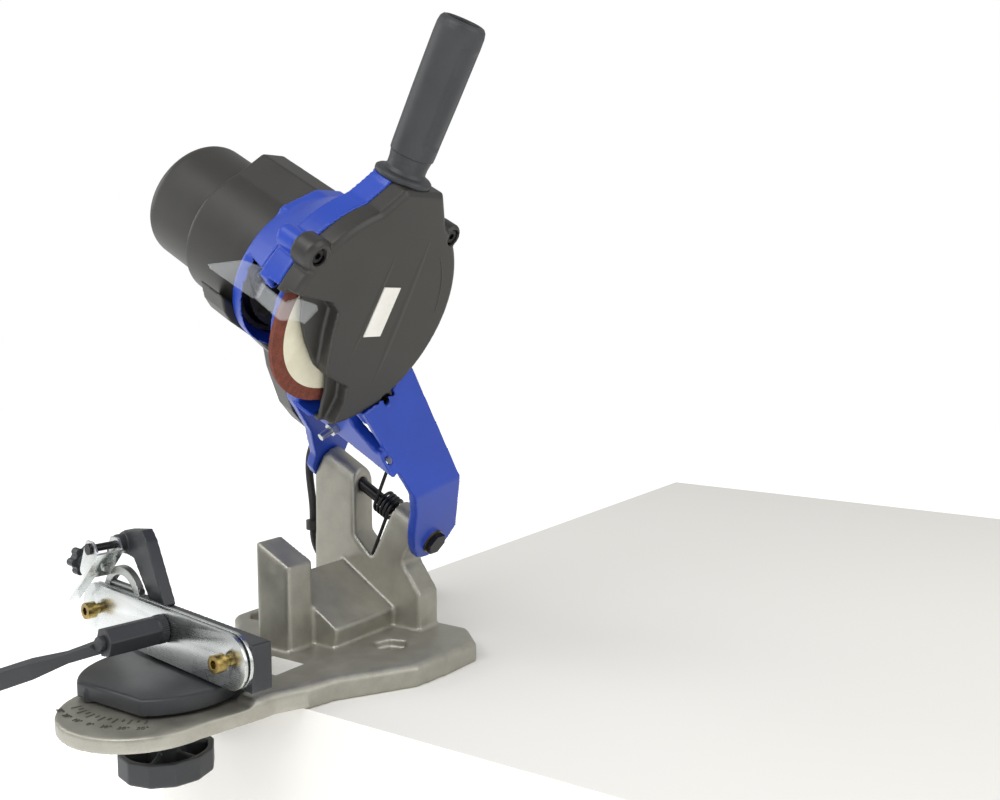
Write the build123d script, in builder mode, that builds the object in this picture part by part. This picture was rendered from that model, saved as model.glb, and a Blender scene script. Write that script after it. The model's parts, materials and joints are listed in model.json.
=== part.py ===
from build123d import *
from math import cos, pi, radians, sin, sqrt, tan
import os

os.makedirs("parts", exist_ok=True)

# Electric chainsaw sharpener that bolts to a bench edge.
# Origin: midway between the two bench bolt holes, on the underside of the base casting.
# +X runs to the side of the wheel cover, +Y to the back, +Z up. All sizes in millimetres.

# ---------------------------------------------------------------- driving dimensions
# grinding wheel
wheel_diameter = 145.0
wheel_bore = 22.2
wheel_thickness = 3.2

# head hinge: its axis leans down towards the cover side
hinge_x = 21.3
hinge_y = 49.0
hinge_z = 122.0
hinge_lean = 28.0
hinge_bolt_diameter = 10.0
hinge_ear_radius = 13.0

# wheel centre from the hinge, seen along the hinge axis (back, up)
wheel_back = -138.0
wheel_up = 190.0

# base casting
base_height = 18.0
base_side_height = 14.0
nose_height = 12.5
nose_radius = 59.0
nose_centre_y = -190.0
bench_bolt_spacing = 140.0
bench_bolt_hole = 11.0
bench_hex_across_flats = 25.0
bench_hex_depth = 8.0

# turntable and its axis
turntable_x = -13.4
turntable_y = -160.0
turntable_radius = 60.0
turntable_front = 49.5
turntable_bottom = 15.0
turntable_top = 27.0
lock_stud_diameter = 12.0

# chain vise on the turntable
vise_x = -9.0
vise_y = -157.0
vise_turn = -9.7
plate_length = 226.0
plate_height = 40.0
plate_thickness = 2.5
plate_centre_a = -22.0
plate_centre_z = 49.3
chain_gap = 2.0
front_plate_face = 2.6
guide_screw_a = (-110.0, 70.0)
guide_screw_z = 50.0
guide_screw_diameter = 8.0
clamp_a = -13.0
clamp_z = 55.0
clamp_stud_diameter = 10.0
rail_left = -128.0
rail_right = 89.0
rail_back = 26.0
rail_top = 63.0

# chain stop
stop_pin_a = -91.0
stop_pin_z = 104.0
stop_pin_diameter = 6.0

# wheel guard and cover
wheel_radius = wheel_diameter / 2
guard_gap = 14.5
guard_radius = wheel_radius + guard_gap
guard_wall = 3.0
guard_seam = 2.0
cover_face = 18.0
guard_rear = -16.0
handle_seat_rise = 11.5
guard_top = guard_radius + handle_seat_rise

# motor
motor_radius = 51.0
motor_wall = 4.5
motor_front = -60.0
motor_step = -120.0
motor_end = -174.0
cap_radius = 45.5
spindle_diameter = 12.0

# arm
near_cheek_outer = 61.0
cheek_thickness = 8.5
far_cheek_inner = -66.0
far_cheek_outer = -75.0

# handle
handle_radius = 16.5
handle_length = 110.0
handle_flange_radius = 20.0

# fits
bearing_clearance = 0.02
running_clearance = 0.05
slide_clearance = 0.15
open_clearance = 0.3

# ---------------------------------------------------------------- frames
hinge_axis = Vector(cos(radians(hinge_lean)), 0, -sin(radians(hinge_lean)))
HEAD = Plane(origin=(hinge_x, hinge_y, hinge_z), x_dir=(0, 1, 0), z_dir=hinge_axis)
head_up = HEAD.y_dir
WHEEL = Plane(
    origin=HEAD.from_local_coords(Vector(wheel_back, wheel_up, 0)),
    x_dir=(0, 1, 0),
    z_dir=hinge_axis,
)
along_vise = Vector(cos(radians(vise_turn)), sin(radians(vise_turn)), 0)
into_vise = Vector(-sin(radians(vise_turn)), cos(radians(vise_turn)), 0)
VISE_FRONT = Plane(
    origin=(vise_x, vise_y, 0), x_dir=along_vise, z_dir=into_vise * -1
)
VISE_TOP = Plane(origin=(vise_x, vise_y, 0), x_dir=along_vise, z_dir=(0, 0, 1))
TURN = Plane(origin=(turntable_x, turntable_y, 0), x_dir=(1, 0, 0), z_dir=(0, 0, 1))


def jaw_plane(b):
    """Vertical plane along the vise, b behind its front face; extrude comes forwards."""
    return VISE_FRONT.offset(-b)


def vise_point(a, b, z):
    """Point at a along the vise, b behind its axis, at height z."""
    return VISE_TOP.from_local_coords(Vector(a, b, z))


def head_point(t, back, up):
    """Point of the head: t along the hinge axis, back and up from it."""
    return HEAD.from_local_coords(Vector(back, up, t))


# ---------------------------------------------------------------- base casting
near_side = [
    (59, -190), (68, -143), (69, -131), (80, -107), (85, -84), (102, -55),
    (118, -27), (121, 6), (121, 47), (96, 71),
]
far_side = [
    (-80, 71), (-93, 45), (-95, 3), (-94, -14), (-75, -30), (-60, -46),
    (-59, -62), (-65, -97), (-66, -143), (-59, -190),
]
block_x = (-15.0, 20.0)
block_y = (-64.0, -36.0)
block_top_z = (104.0, 87.0)
tower_y = (36.0, 62.0)
shelf_profile = [(-30, 10), (-22, 58), (-12, 69), (44, 34), (41, 10)]
tower_profile = [
    (-46, 10), (-43, 139.5), (-30, 164.0), (1, 147.5), (1, 92), (19.5, 74),
    (45.9, 123.6), (71.5, 110.0), (53, 74), (70.7, 49), (70.7, 10),
]
guide_ring_inner = turntable_radius + 4.0
seat_ring_radius = 30.0
seat_front_y = -107.0
nose_relief = 1.0
washer_radius = 20.0
lock_boss_radius = washer_radius + 2.0
bench_bolt_x = (-bench_bolt_spacing / 2, bench_bolt_spacing / 2)

with BuildPart() as base_casting:
    with BuildSketch(Plane.XY):
        with BuildLine():
            Polyline(*near_side)
            Line(near_side[-1], far_side[0])
            Polyline(*far_side)
            ThreePointArc(far_side[-1], (0, nose_centre_y - nose_radius), near_side[0])
        make_face()
    extrude(amount=nose_height)
    with BuildSketch(Plane.XY):
        with BuildLine():
            Polyline((66, -150), *near_side[1:])
            Line(near_side[-1], far_side[0])
            Polyline(*far_side[:-1], (-62, -150))
            Line((-62, -150), (66, -150))
        make_face()
    extrude(amount=base_height)
    edges_top = base_casting.faces().sort_by(Axis.Z)[-1].edges()
    chamfer(edges_top, length=base_height - base_side_height)
    with BuildSketch(Plane.XY.offset(nose_height)):
        with Locations((turntable_x, turntable_y)):
            Circle(guide_ring_inner)
    extrude(amount=base_height, mode=Mode.SUBTRACT)
    # raised seat ring under the turntable
    with BuildSketch(Plane.XY.offset(nose_height)):
        with Locations((turntable_x, turntable_y)):
            Circle(seat_ring_radius)
    extrude(amount=turntable_bottom - slide_clearance - nose_height)
    # stop block
    with BuildSketch(Plane.XZ.offset(-block_y[1])):
        with BuildLine():
            Polyline(
                (block_x[0], 10),
                (block_x[0], block_top_z[0]),
                (block_x[1], block_top_z[1]),
                (block_x[1], 10),
                close=True,
            )
        make_face()
    extrude(amount=block_y[1] - block_y[0])
    # sloping shelf between block and tower
    with BuildSketch(Plane.XZ.offset(-tower_y[0])):
        with BuildLine():
            Polyline(*shelf_profile, close=True)
        make_face()
    extrude(amount=tower_y[0] - block_y[1])
    # tower with its two ears
    with BuildSketch(Plane.XZ.offset(-tower_y[1])):
        with BuildLine():
            Polyline(*tower_profile, close=True)
        make_face()
    extrude(amount=tower_y[1] - tower_y[0])
    # ears rounded about the hinge axis
    with BuildSketch(HEAD.offset(-90)):
        with Locations((0, 50)):
            Rectangle(80, 100)
        with Locations((0, 0)):
            Circle(hinge_ear_radius, mode=Mode.SUBTRACT)
    extrude(amount=180, mode=Mode.SUBTRACT)
    # hinge bore
    with BuildSketch(HEAD.offset(-90)):
        Circle(hinge_bolt_diameter / 2 + running_clearance)
    extrude(amount=180, mode=Mode.SUBTRACT)
    # bench bolt holes with hexagon recesses
    with BuildSketch(Plane.XY):
        with Locations(*[(x, 0) for x in bench_bolt_x]):
            Circle(bench_bolt_hole / 2)
    extrude(amount=base_height + 5, mode=Mode.SUBTRACT)
    with BuildSketch(Plane.XY.offset(base_height - bench_hex_depth)):
        with Locations(*[(x, 0) for x in bench_bolt_x]):
            RegularPolygon(bench_hex_across_flats / 2, 6, major_radius=False, rotation=15)
    extrude(amount=bench_hex_depth + 5, mode=Mode.SUBTRACT)
    # underside relieved in front of the bench edge, but for a boss round the lock stud
    with BuildSketch(Plane.XY):
        with Locations((0, seat_front_y)):
            Rectangle(400, 300, align=(Align.CENTER, Align.MAX))
        with Locations((turntable_x, turntable_y)):
            Circle(lock_boss_radius, mode=Mode.SUBTRACT)
    extrude(amount=nose_relief, mode=Mode.SUBTRACT)
    # turntable stud bore
    with BuildSketch(Plane.XY):
        with Locations((turntable_x, turntable_y)):
            Circle(lock_stud_diameter / 2 + running_clearance)
    extrude(amount=40, mode=Mode.SUBTRACT)
base_casting.part.label = "base_casting"
export_step(base_casting.part, "parts/base_casting.step")

# ---------------------------------------------------------------- turntable and lock
pointer_direction = (-24.6, -52.0)
pointer_reach = 57.5
pointer_low = 13.2
pointer_top = 22.0
knob_radius = 35.0
knob_rim = -31.0
knob_bottom = -49.0
knob_hub_radius = 14.0
washer_thickness = 2.5
pointer_unit = Vector(pointer_direction[0], pointer_direction[1]).normalized()

with BuildPart() as turntable:
    with BuildSketch(TURN.offset(turntable_bottom)):
        Circle(turntable_radius)
        with Locations((0, -turntable_front)):
            Rectangle(
                2 * turntable_radius, turntable_radius, align=(Align.CENTER, Align.MAX),
                mode=Mode.SUBTRACT,
            )
    extrude(amount=turntable_top - turntable_bottom)
    fillet(turntable.faces().sort_by(Axis.Z)[-1].edges(), radius=2)
    # pointer wedge on the rim
    pointer_plane = Plane(
        origin=(turntable_x, turntable_y, pointer_low), x_dir=pointer_unit, z_dir=(0, 0, 1)
    )
    with BuildSketch(pointer_plane):
        with BuildLine():
            Polyline((42, -9), (pointer_reach, 0), (42, 9), close=True)
        make_face()
    extrude(amount=pointer_top - pointer_low)
    # pad under the vise rail
    with BuildSketch(VISE_TOP.offset(turntable_top - 1)):
        with Locations((0, (front_plate_face + rail_back + 8) / 2)):
            Rectangle(92, rail_back - front_plate_face - 8)
    extrude(amount=1 + open_clearance)
    with BuildSketch(TURN):
        Circle(lock_stud_diameter / 2 + running_clearance)
    extrude(amount=turntable_top - 3, mode=Mode.SUBTRACT)
turntable.part.label = "turntable"
export_step(turntable.part, "parts/turntable.step")

with BuildPart() as lock_stud:
    with BuildSketch(TURN.offset(knob_rim - 4)):
        Circle(lock_stud_diameter / 2)
    extrude(amount=turntable_top - 3 - slide_clearance - knob_rim + 4)
lock_stud.part.label = "lock_stud"
export_step(lock_stud.part, "parts/lock_stud.step")

with BuildPart() as lock_washer:
    with BuildSketch(TURN.offset(-washer_thickness)):
        Circle(washer_radius)
        Circle(lock_stud_diameter / 2 + open_clearance, mode=Mode.SUBTRACT)
    extrude(amount=washer_thickness)
lock_washer.part.label = "lock_washer"
export_step(lock_washer.part, "parts/lock_washer.step")

with BuildPart() as lock_knob:
    with BuildSketch(TURN.offset(knob_bottom)):
        RegularPolygon(knob_radius, 12)
    extrude(amount=knob_rim - knob_bottom)
    fillet(lock_knob.edges().filter_by(Axis.Z), radius=4)
    chamfer(lock_knob.faces().sort_by(Axis.Z)[0].edges(), length=1.5)
    with BuildSketch(TURN.offset(knob_bottom + 4)):
        Circle(knob_radius - 5)
        Circle(knob_hub_radius, mode=Mode.SUBTRACT)
        for spoke in range(6):
            with Locations(Plane.XY.rotated((0, 0, 60 * spoke)).location):
                with Locations((knob_radius / 2, 0)):
                    Rectangle(knob_radius, 3, mode=Mode.SUBTRACT)
    extrude(amount=60, mode=Mode.SUBTRACT)
    with BuildSketch(TURN.offset(knob_rim - 5)):
        Circle(knob_hub_radius)
    extrude(amount=-washer_thickness - slide_clearance - knob_rim + 5)
    with BuildSketch(TURN.offset(knob_rim - 4 - open_clearance)):
        Circle(lock_stud_diameter / 2 + running_clearance)
    extrude(amount=80, mode=Mode.SUBTRACT)
lock_knob.part.label = "lock_knob"
export_step(lock_knob.part, "parts/lock_knob.step")

# ---------------------------------------------------------------- chain vise
rear_plate_face = front_plate_face + plate_thickness + chain_gap
rail_face = rear_plate_face + plate_thickness
screw_head_radius = 6.5
screw_head_height = 8.0
screw_head_face = front_plate_face - 3.8
plate_screw_points = [(a, guide_screw_z) for a in guide_screw_a]
rail_bottom = turntable_top + open_clearance


def plate_outline():
    """Stadium plate with its screw and clamp holes, drawn on a vise plane."""
    with Locations((plate_centre_a, plate_centre_z)):
        SlotOverall(plate_length, plate_height)
    with Locations(*plate_screw_points):
        Circle(guide_screw_diameter / 2 + slide_clearance, mode=Mode.SUBTRACT)
    with Locations((clamp_a, clamp_z)):
        Circle(clamp_stud_diameter / 2 + slide_clearance, mode=Mode.SUBTRACT)


with BuildPart() as front_plate:
    with BuildSketch(jaw_plane(front_plate_face + plate_thickness)):
        plate_outline()
    extrude(amount=plate_thickness)
front_plate.part.label = "front_plate"
export_step(front_plate.part, "parts/front_plate.step")

with BuildPart() as rear_plate:
    with BuildSketch(jaw_plane(rail_face)):
        plate_outline()
    extrude(amount=plate_thickness)
rear_plate.part.label = "rear_plate"
export_step(rear_plate.part, "parts/rear_plate.step")

with BuildPart() as vise_rail:
    with BuildSketch(jaw_plane(rail_back)):
        with BuildLine():
            Polyline(
                (rail_left, rail_top), (rail_right, rail_top), (rail_right, rail_bottom + 1.3),
                (48, rail_bottom + 1.3), (46, rail_bottom), (-46, rail_bottom),
                (-48, rail_bottom + 1.3), (-74, 34), (rail_left, 40), close=True,
            )
        make_face()
    extrude(amount=rail_back - rail_face)
    chamfer(vise_rail.edges().filter_by(Axis((0, 0, 0), into_vise)), length=1)
    with BuildSketch(jaw_plane(rail_back)):
        with Locations(*plate_screw_points):
            Circle(guide_screw_diameter / 2 + running_clearance)
        with Locations((clamp_a, clamp_z)):
            Circle(clamp_stud_diameter / 2 + running_clearance)
    extrude(amount=40, mode=Mode.SUBTRACT)
vise_rail.part.label = "vise_rail"
export_step(vise_rail.part, "parts/vise_rail.step")

with BuildPart() as guide_screws:
    with BuildSketch(jaw_plane(rail_back - 4)):
        with Locations(*plate_screw_points):
            Circle(guide_screw_diameter / 2)
    extrude(amount=rail_back - 4 - screw_head_face)
    with BuildSketch(jaw_plane(screw_head_face)):
        with Locations(*plate_screw_points):
            Circle(screw_head_radius)
    extrude(amount=screw_head_height)
    with BuildSketch(jaw_plane(screw_head_face - screw_head_height + 4)):
        with Locations(*plate_screw_points):
            RegularPolygon(3, 6, major_radius=False)
    extrude(amount=8, mode=Mode.SUBTRACT)
guide_screws.part.label = "guide_screws"
export_step(guide_screws.part, "parts/guide_screws.step")

# clamp lever: threaded stud, hexagon hub and a paddle arm
hub_front = -45.0
hub_back = front_plate_face - open_clearance
collar_length = 7.0
lever_reach = 84.0
lever_direction = Vector(-0.62, -0.76, -0.30).normalized()
lever_screw_radius = 5.5
lever_screw_shank = 3.0
stud_front = hub_front + 6.0

with BuildPart() as clamp_stud:
    with BuildSketch(jaw_plane(rail_back - 3)):
        with Locations((clamp_a, clamp_z)):
            Circle(clamp_stud_diameter / 2)
    extrude(amount=rail_back - 3 - stud_front)
clamp_stud.part.label = "clamp_stud"
export_step(clamp_stud.part, "parts/clamp_stud.step")

lever_root = vise_point(clamp_a, -37, clamp_z - 1)
lever_run = (
    along_vise * lever_direction.X + into_vise * lever_direction.Y
    + Vector(0, 0, lever_direction.Z)
).normalized()
lever_wide = lever_run.cross(Vector(0, 0, 1)).normalized()
LEVER = Plane(origin=lever_root, x_dir=lever_wide, z_dir=lever_run)

with BuildPart() as clamp_lever:
    with BuildSketch(jaw_plane(hub_back)):
        with Locations((clamp_a, clamp_z)):
            Circle(10.5)
    extrude(amount=collar_length)
    with BuildSketch(jaw_plane(hub_back - collar_length)):
        with Locations((clamp_a, clamp_z)):
            RegularPolygon(9.8, 6, major_radius=False, rotation=10)
    extrude(amount=hub_back - collar_length - hub_front)
    with BuildSketch(LEVER):
        Rectangle(12, 9)
    with BuildSketch(LEVER.offset(lever_reach * 0.4)):
        Rectangle(10, 7)
    with BuildSketch(LEVER.offset(lever_reach * 0.7)):
        Rectangle(15, 12)
    with BuildSketch(LEVER.offset(lever_reach)):
        Rectangle(13, 13)
    loft(ruled=True)
    with BuildSketch(jaw_plane(rail_back)):
        with Locations((clamp_a, clamp_z)):
            Circle(clamp_stud_diameter / 2 + running_clearance)
    extrude(amount=rail_back - stud_front, mode=Mode.SUBTRACT)
    # seat of the end screw
    with BuildSketch(jaw_plane(rail_back)):
        with Locations((clamp_a, clamp_z)):
            Circle(lever_screw_shank + running_clearance)
    extrude(amount=rail_back - hub_front + 1, mode=Mode.SUBTRACT)
    with BuildSketch(jaw_plane(hub_front)):
        with Locations((clamp_a, clamp_z)):
            Circle(lever_screw_radius + open_clearance)
    extrude(amount=20, mode=Mode.SUBTRACT)
clamp_lever.part.label = "clamp_lever"
export_step(clamp_lever.part, "parts/clamp_lever.step")

with BuildPart() as lever_screw:
    with BuildSketch(jaw_plane(hub_front)):
        with Locations((clamp_a, clamp_z)):
            Circle(lever_screw_radius)
    extrude(amount=5)
    chamfer(lever_screw.faces().sort_by(Axis((0, 0, 0), into_vise))[0].edges(), length=1)
    with BuildSketch(jaw_plane(stud_front)):
        with Locations((clamp_a, clamp_z)):
            Circle(lever_screw_shank)
    extrude(amount=stud_front - hub_front)
lever_screw.part.label = "lever_screw"
export_step(lever_screw.part, "parts/lever_screw.step")

# ---------------------------------------------------------------- chain stop
stop_arm_front = 16.0
bracket_front = -11.0
bracket_back = 9.4
rod_b = 12.8
rod_z = 71.0
rod_radius = 2.5
bracket_sheet = 1.5
stop_knob_radius = 12.0
stop_knob_a = (-133.0, -121.0)
stop_knob_b = 0.5
stop_knob_z = 86.0
stop_screw_radius = 2.5
stop_screw_length = 31.0

with BuildPart() as stop_arm:
    with BuildSketch(jaw_plane(rail_back)):
        with BuildLine():
            FilletPolyline(
                (-92, 96), (-99, 103), (-91, 114), (-64, 118), (-57, 110), (-33, rail_top),
                (-54, rail_top), (-77, 94), radius=1.5, close=True,
            )
        make_face()
        with Locations((stop_pin_a, stop_pin_z)):
            Circle(9)
    extrude(amount=rail_back - stop_arm_front)
    with BuildSketch(jaw_plane(stop_arm_front + 5)):
        with Locations((stop_pin_a, stop_pin_z)):
            Circle(7.5)
    extrude(amount=stop_arm_front + 5 - bracket_back - slide_clearance)
    with BuildSketch(jaw_plane(40)):
        with Locations((stop_pin_a, stop_pin_z)):
            Circle(stop_pin_diameter / 2 + running_clearance)
    extrude(amount=80, mode=Mode.SUBTRACT)
stop_arm.part.label = "stop_arm"
export_step(stop_arm.part, "parts/stop_arm.step")

with BuildPart() as stop_pin:
    with BuildSketch(jaw_plane(rail_back)):
        with Locations((stop_pin_a, stop_pin_z)):
            Circle(stop_pin_diameter / 2)
    extrude(amount=rail_back - bracket_front + 3)
    with BuildSketch(jaw_plane(bracket_front - bracket_sheet - slide_clearance)):
        with Locations((stop_pin_a, stop_pin_z)):
            Circle(4.5)
    extrude(amount=2)
stop_pin.part.label = "stop_pin"
export_step(stop_pin.part, "parts/stop_pin.step")

ROD = Plane(origin=vise_point(-112, rod_b, rod_z), x_dir=into_vise, z_dir=along_vise)
with BuildPart() as stop_arch:
    with BuildSketch(jaw_plane(stop_arm_front - 0.5)):
        with BuildLine():
            Polyline((-114, rail_top), (-58, rail_top))
            ThreePointArc((-58, rail_top), (-86, 87), (-114, rail_top))
        make_face()
        with BuildLine(mode=Mode.PRIVATE) as inner:
            Polyline((-107, rail_top - 2), (-65, rail_top - 2))
            ThreePointArc((-65, rail_top - 2), (-86, 80), (-107, rail_top - 2))
        make_face(inner.edges(), mode=Mode.SUBTRACT)
    extrude(amount=stop_arm_front - 0.5 - rail_face - 0.2)
    with BuildSketch(ROD):
        Circle(rod_radius + running_clearance)
    extrude(amount=60, mode=Mode.SUBTRACT)
stop_arch.part.label = "stop_arch"
export_step(stop_arch.part, "parts/stop_arch.step")

with BuildPart() as stop_rod:
    with BuildSketch(ROD):
        Circle(rod_radius)
    extrude(amount=52)
stop_rod.part.label = "stop_rod"
export_step(stop_rod.part, "parts/stop_rod.step")

STOP_KNOB = Plane(
    origin=vise_point(stop_knob_a[0], stop_knob_b, stop_knob_z),
    x_dir=into_vise,
    z_dir=along_vise,
)
ear_outline = [(-97, 110), (-86, 110), (-79, 101), (-103, 79), (-109, 84)]
with BuildPart() as stop_bracket:
    for ear_b in (bracket_front, bracket_back):
        with BuildSketch(jaw_plane(ear_b)):
            with BuildLine():
                FilletPolyline(*ear_outline, radius=3, close=True)
            make_face()
        extrude(amount=bracket_sheet)
    # folded web between the ears, running on as the pawl
    with BuildSketch(VISE_FRONT.offset(-bracket_back)):
        with BuildLine():
            Polyline((-80.5, 102), (-79, 100.8), (-103, 77.5), (-104.5, 78.7), close=True)
        make_face()
    extrude(amount=bracket_back - bracket_front + bracket_sheet)
    with BuildSketch(VISE_FRONT.offset(3)):
        with BuildLine():
            Polyline((-103, 80), (-101.5, 79), (-129, 55.5), (-130, 57), close=True)
        make_face()
    extrude(amount=9)
    with BuildSketch(jaw_plane(40)):
        with Locations((stop_pin_a, stop_pin_z)):
            Circle(stop_pin_diameter / 2 + running_clearance)
    extrude(amount=80, mode=Mode.SUBTRACT)
    with BuildSketch(STOP_KNOB):
        Circle(stop_screw_radius + running_clearance)
    extrude(amount=80, mode=Mode.SUBTRACT)
stop_bracket.part.label = "stop_bracket"
export_step(stop_bracket.part, "parts/stop_bracket.step")

with BuildPart() as stop_knob:
    with BuildSketch(STOP_KNOB):
        Circle(stop_knob_radius - 3)
        with PolarLocations(stop_knob_radius - 3.2, 6):
            Circle(3.2)
    extrude(amount=stop_knob_a[1] - stop_knob_a[0] - 3)
    with BuildSketch(STOP_KNOB.offset(stop_knob_a[1] - stop_knob_a[0] - 3)):
        Circle(6)
    extrude(amount=3)
stop_knob.part.label = "stop_knob"
export_step(stop_knob.part, "parts/stop_knob.step")

with BuildPart() as stop_screw:
    with BuildSketch(STOP_KNOB.offset(stop_knob_a[1] - stop_knob_a[0])):
        Circle(stop_screw_radius)
    extrude(amount=stop_screw_length)
stop_screw.part.label = "stop_screw"
export_step(stop_screw.part, "parts/stop_screw.step")

# ---------------------------------------------------------------- wheel and spindle
flange_radius = 20.0
flange_thickness = 4.0
spindle_front = 12.5
spindle_rear = -168.0
wheel_half = wheel_thickness / 2

with BuildPart() as grinding_wheel:
    with BuildSketch(WHEEL.offset(-wheel_half)):
        Circle(wheel_diameter / 2)
        Circle(wheel_bore / 2, mode=Mode.SUBTRACT)
    extrude(amount=wheel_thickness)
grinding_wheel.part.label = "grinding_wheel"
export_step(grinding_wheel.part, "parts/grinding_wheel.step")

with BuildPart() as inner_flange:
    with BuildSketch(WHEEL.offset(-wheel_half - flange_thickness)):
        Circle(flange_radius)
    extrude(amount=flange_thickness)
    with BuildSketch(WHEEL.offset(-wheel_half - flange_thickness)):
        Circle(wheel_bore / 2 - running_clearance)
    extrude(amount=flange_thickness + wheel_thickness - 0.4)
    with BuildSketch(WHEEL.offset(-30)):
        Circle(spindle_diameter / 2 + running_clearance)
    extrude(amount=60, mode=Mode.SUBTRACT)
inner_flange.part.label = "inner_flange"
export_step(inner_flange.part, "parts/inner_flange.step")

with BuildPart() as outer_flange:
    with BuildSketch(WHEEL.offset(wheel_half)):
        Circle(flange_radius)
        Circle(spindle_diameter / 2 + running_clearance, mode=Mode.SUBTRACT)
    extrude(amount=flange_thickness)
    chamfer(outer_flange.faces().sort_by(Axis((0, 0, 0), hinge_axis))[-1].edges(), length=1)
outer_flange.part.label = "outer_flange"
export_step(outer_flange.part, "parts/outer_flange.step")

with BuildPart() as wheel_nut:
    with BuildSketch(WHEEL.offset(wheel_half + flange_thickness)):
        RegularPolygon(9.5, 6, major_radius=False)
        Circle(spindle_diameter / 2 + running_clearance, mode=Mode.SUBTRACT)
    extrude(amount=6)
wheel_nut.part.label = "wheel_nut"
export_step(wheel_nut.part, "parts/wheel_nut.step")

front_bearing_t = (-37.0, -25.0)
front_bearing_radius = 16.0
rear_bearing_t = (-166.0, -157.0)
rear_bearing_radius = 13.0
armature_t = (-110.0, -76.0)
armature_radius = 26.0
commutator_t = (-134.0, -120.0)
commutator_radius = 14.0
fan_t = (-56.0, -46.0)
fan_radius = 44.0
shaft_collar_radius = 9.0

with BuildPart() as spindle:
    with BuildSketch(WHEEL.offset(spindle_rear)):
        Circle(spindle_diameter / 2)
    extrude(amount=spindle_front - spindle_rear)
    with BuildSketch(WHEEL.offset(rear_bearing_t[1] + 1)):
        Circle(shaft_collar_radius)
    extrude(amount=3)
    with BuildSketch(WHEEL.offset(front_bearing_t[0] - 4)):
        Circle(shaft_collar_radius)
    extrude(amount=3.5)
spindle.part.label = "spindle"
export_step(spindle.part, "parts/spindle.step")

with BuildPart() as armature:
    with BuildSketch(WHEEL.offset(armature_t[0])):
        Circle(armature_radius)
        with PolarLocations(armature_radius - 3, 12):
            Rectangle(9, 2.4, mode=Mode.SUBTRACT)
        Circle(spindle_diameter / 2, mode=Mode.SUBTRACT)
    extrude(amount=armature_t[1] - armature_t[0])
armature.part.label = "armature"
export_step(armature.part, "parts/armature.step")

with BuildPart() as commutator:
    with BuildSketch(WHEEL.offset(commutator_t[0])):
        Circle(commutator_radius)
        with PolarLocations(commutator_radius, 24):
            Rectangle(2, 0.5, mode=Mode.SUBTRACT)
        Circle(spindle_diameter / 2, mode=Mode.SUBTRACT)
    extrude(amount=commutator_t[1] - commutator_t[0])
commutator.part.label = "commutator"
export_step(commutator.part, "parts/commutator.step")

with BuildPart() as cooling_fan:
    with BuildSketch(WHEEL.offset(fan_t[0])):
        Circle(fan_radius)
        Circle(spindle_diameter / 2, mode=Mode.SUBTRACT)
    extrude(amount=2)
    with BuildSketch(WHEEL.offset(fan_t[0])):
        Circle(12)
        Circle(spindle_diameter / 2, mode=Mode.SUBTRACT)
    extrude(amount=fan_t[1] - fan_t[0])
    with BuildSketch(WHEEL.offset(fan_t[0] + 2)):
        with PolarLocations(28, 10, start_angle=10):
            Rectangle(28, 1.6)
    extrude(amount=fan_t[1] - fan_t[0] - 2)
cooling_fan.part.label = "cooling_fan"
export_step(cooling_fan.part, "parts/cooling_fan.step")

with BuildPart() as front_bearing:
    with BuildSketch(WHEEL.offset(front_bearing_t[0])):
        Circle(front_bearing_radius)
        Circle(spindle_diameter / 2 + bearing_clearance, mode=Mode.SUBTRACT)
    extrude(amount=front_bearing_t[1] - front_bearing_t[0])
front_bearing.part.label = "front_bearing"
export_step(front_bearing.part, "parts/front_bearing.step")

with BuildPart() as rear_bearing:
    with BuildSketch(WHEEL.offset(rear_bearing_t[0])):
        Circle(rear_bearing_radius)
        Circle(spindle_diameter / 2 + bearing_clearance, mode=Mode.SUBTRACT)
    extrude(amount=rear_bearing_t[1] - rear_bearing_t[0])
rear_bearing.part.label = "rear_bearing"
export_step(rear_bearing.part, "parts/rear_bearing.step")

# ---------------------------------------------------------------- guard, cover and arm
hump_top = (-13.0, 27.0)
hump_base = (-50.0, 54.0)
hump_base_up = 62.0
boss_angles = (145.95, 49.2, -51.3)
boss_beyond_rim = (2.3, 0.2, 2.6)
boss_points = [
    ((guard_radius + beyond) * cos(radians(angle)), (guard_radius + beyond) * sin(radians(angle)))
    for angle, beyond in zip(boss_angles, boss_beyond_rim)
]
cover_boss_radii = (11.5, 9.0, 10.0)
drum_boss_radii = (8.0, 9.0, 10.0)
cover_screw_radius = 2.5
opening_start = 165.0
opening_end = 268.0
opening_inner_radius = 57.0
bearing_boss_radius = 21.0
cone_front_radius = 81.0
cone_rear_radius = 56.0
cone_ridge = [(-42, 30), (-36, 49), (-8, 63), (16, 63), (35, 36)]


def guard_outline(grow, boss_radii):
    """Round guard with the handle seat on top and the screw bosses, grown outwards."""
    Circle(guard_radius + grow)
    Polygon(
        (hump_base[0] - grow, hump_base_up),
        (hump_top[0] - grow, guard_top + grow),
        (hump_top[1] + grow, guard_top + grow),
        (hump_base[1] + grow, hump_base_up),
        align=None,
    )
    for boss_point, boss_radius in zip(boss_points, boss_radii):
        with Locations(boss_point):
            Circle(boss_radius + grow)


def opening_sector(reach):
    """Wedge of the guard that is open, where the wheel meets the chain."""
    middle = radians((opening_start + opening_end) / 2)
    Polygon(
        (0, 0),
        (reach * cos(radians(opening_start)), reach * sin(radians(opening_start))),
        (2 * reach * cos(middle), 2 * reach * sin(middle)),
        (reach * cos(radians(opening_end)), reach * sin(radians(opening_end))),
        align=None,
    )


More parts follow.
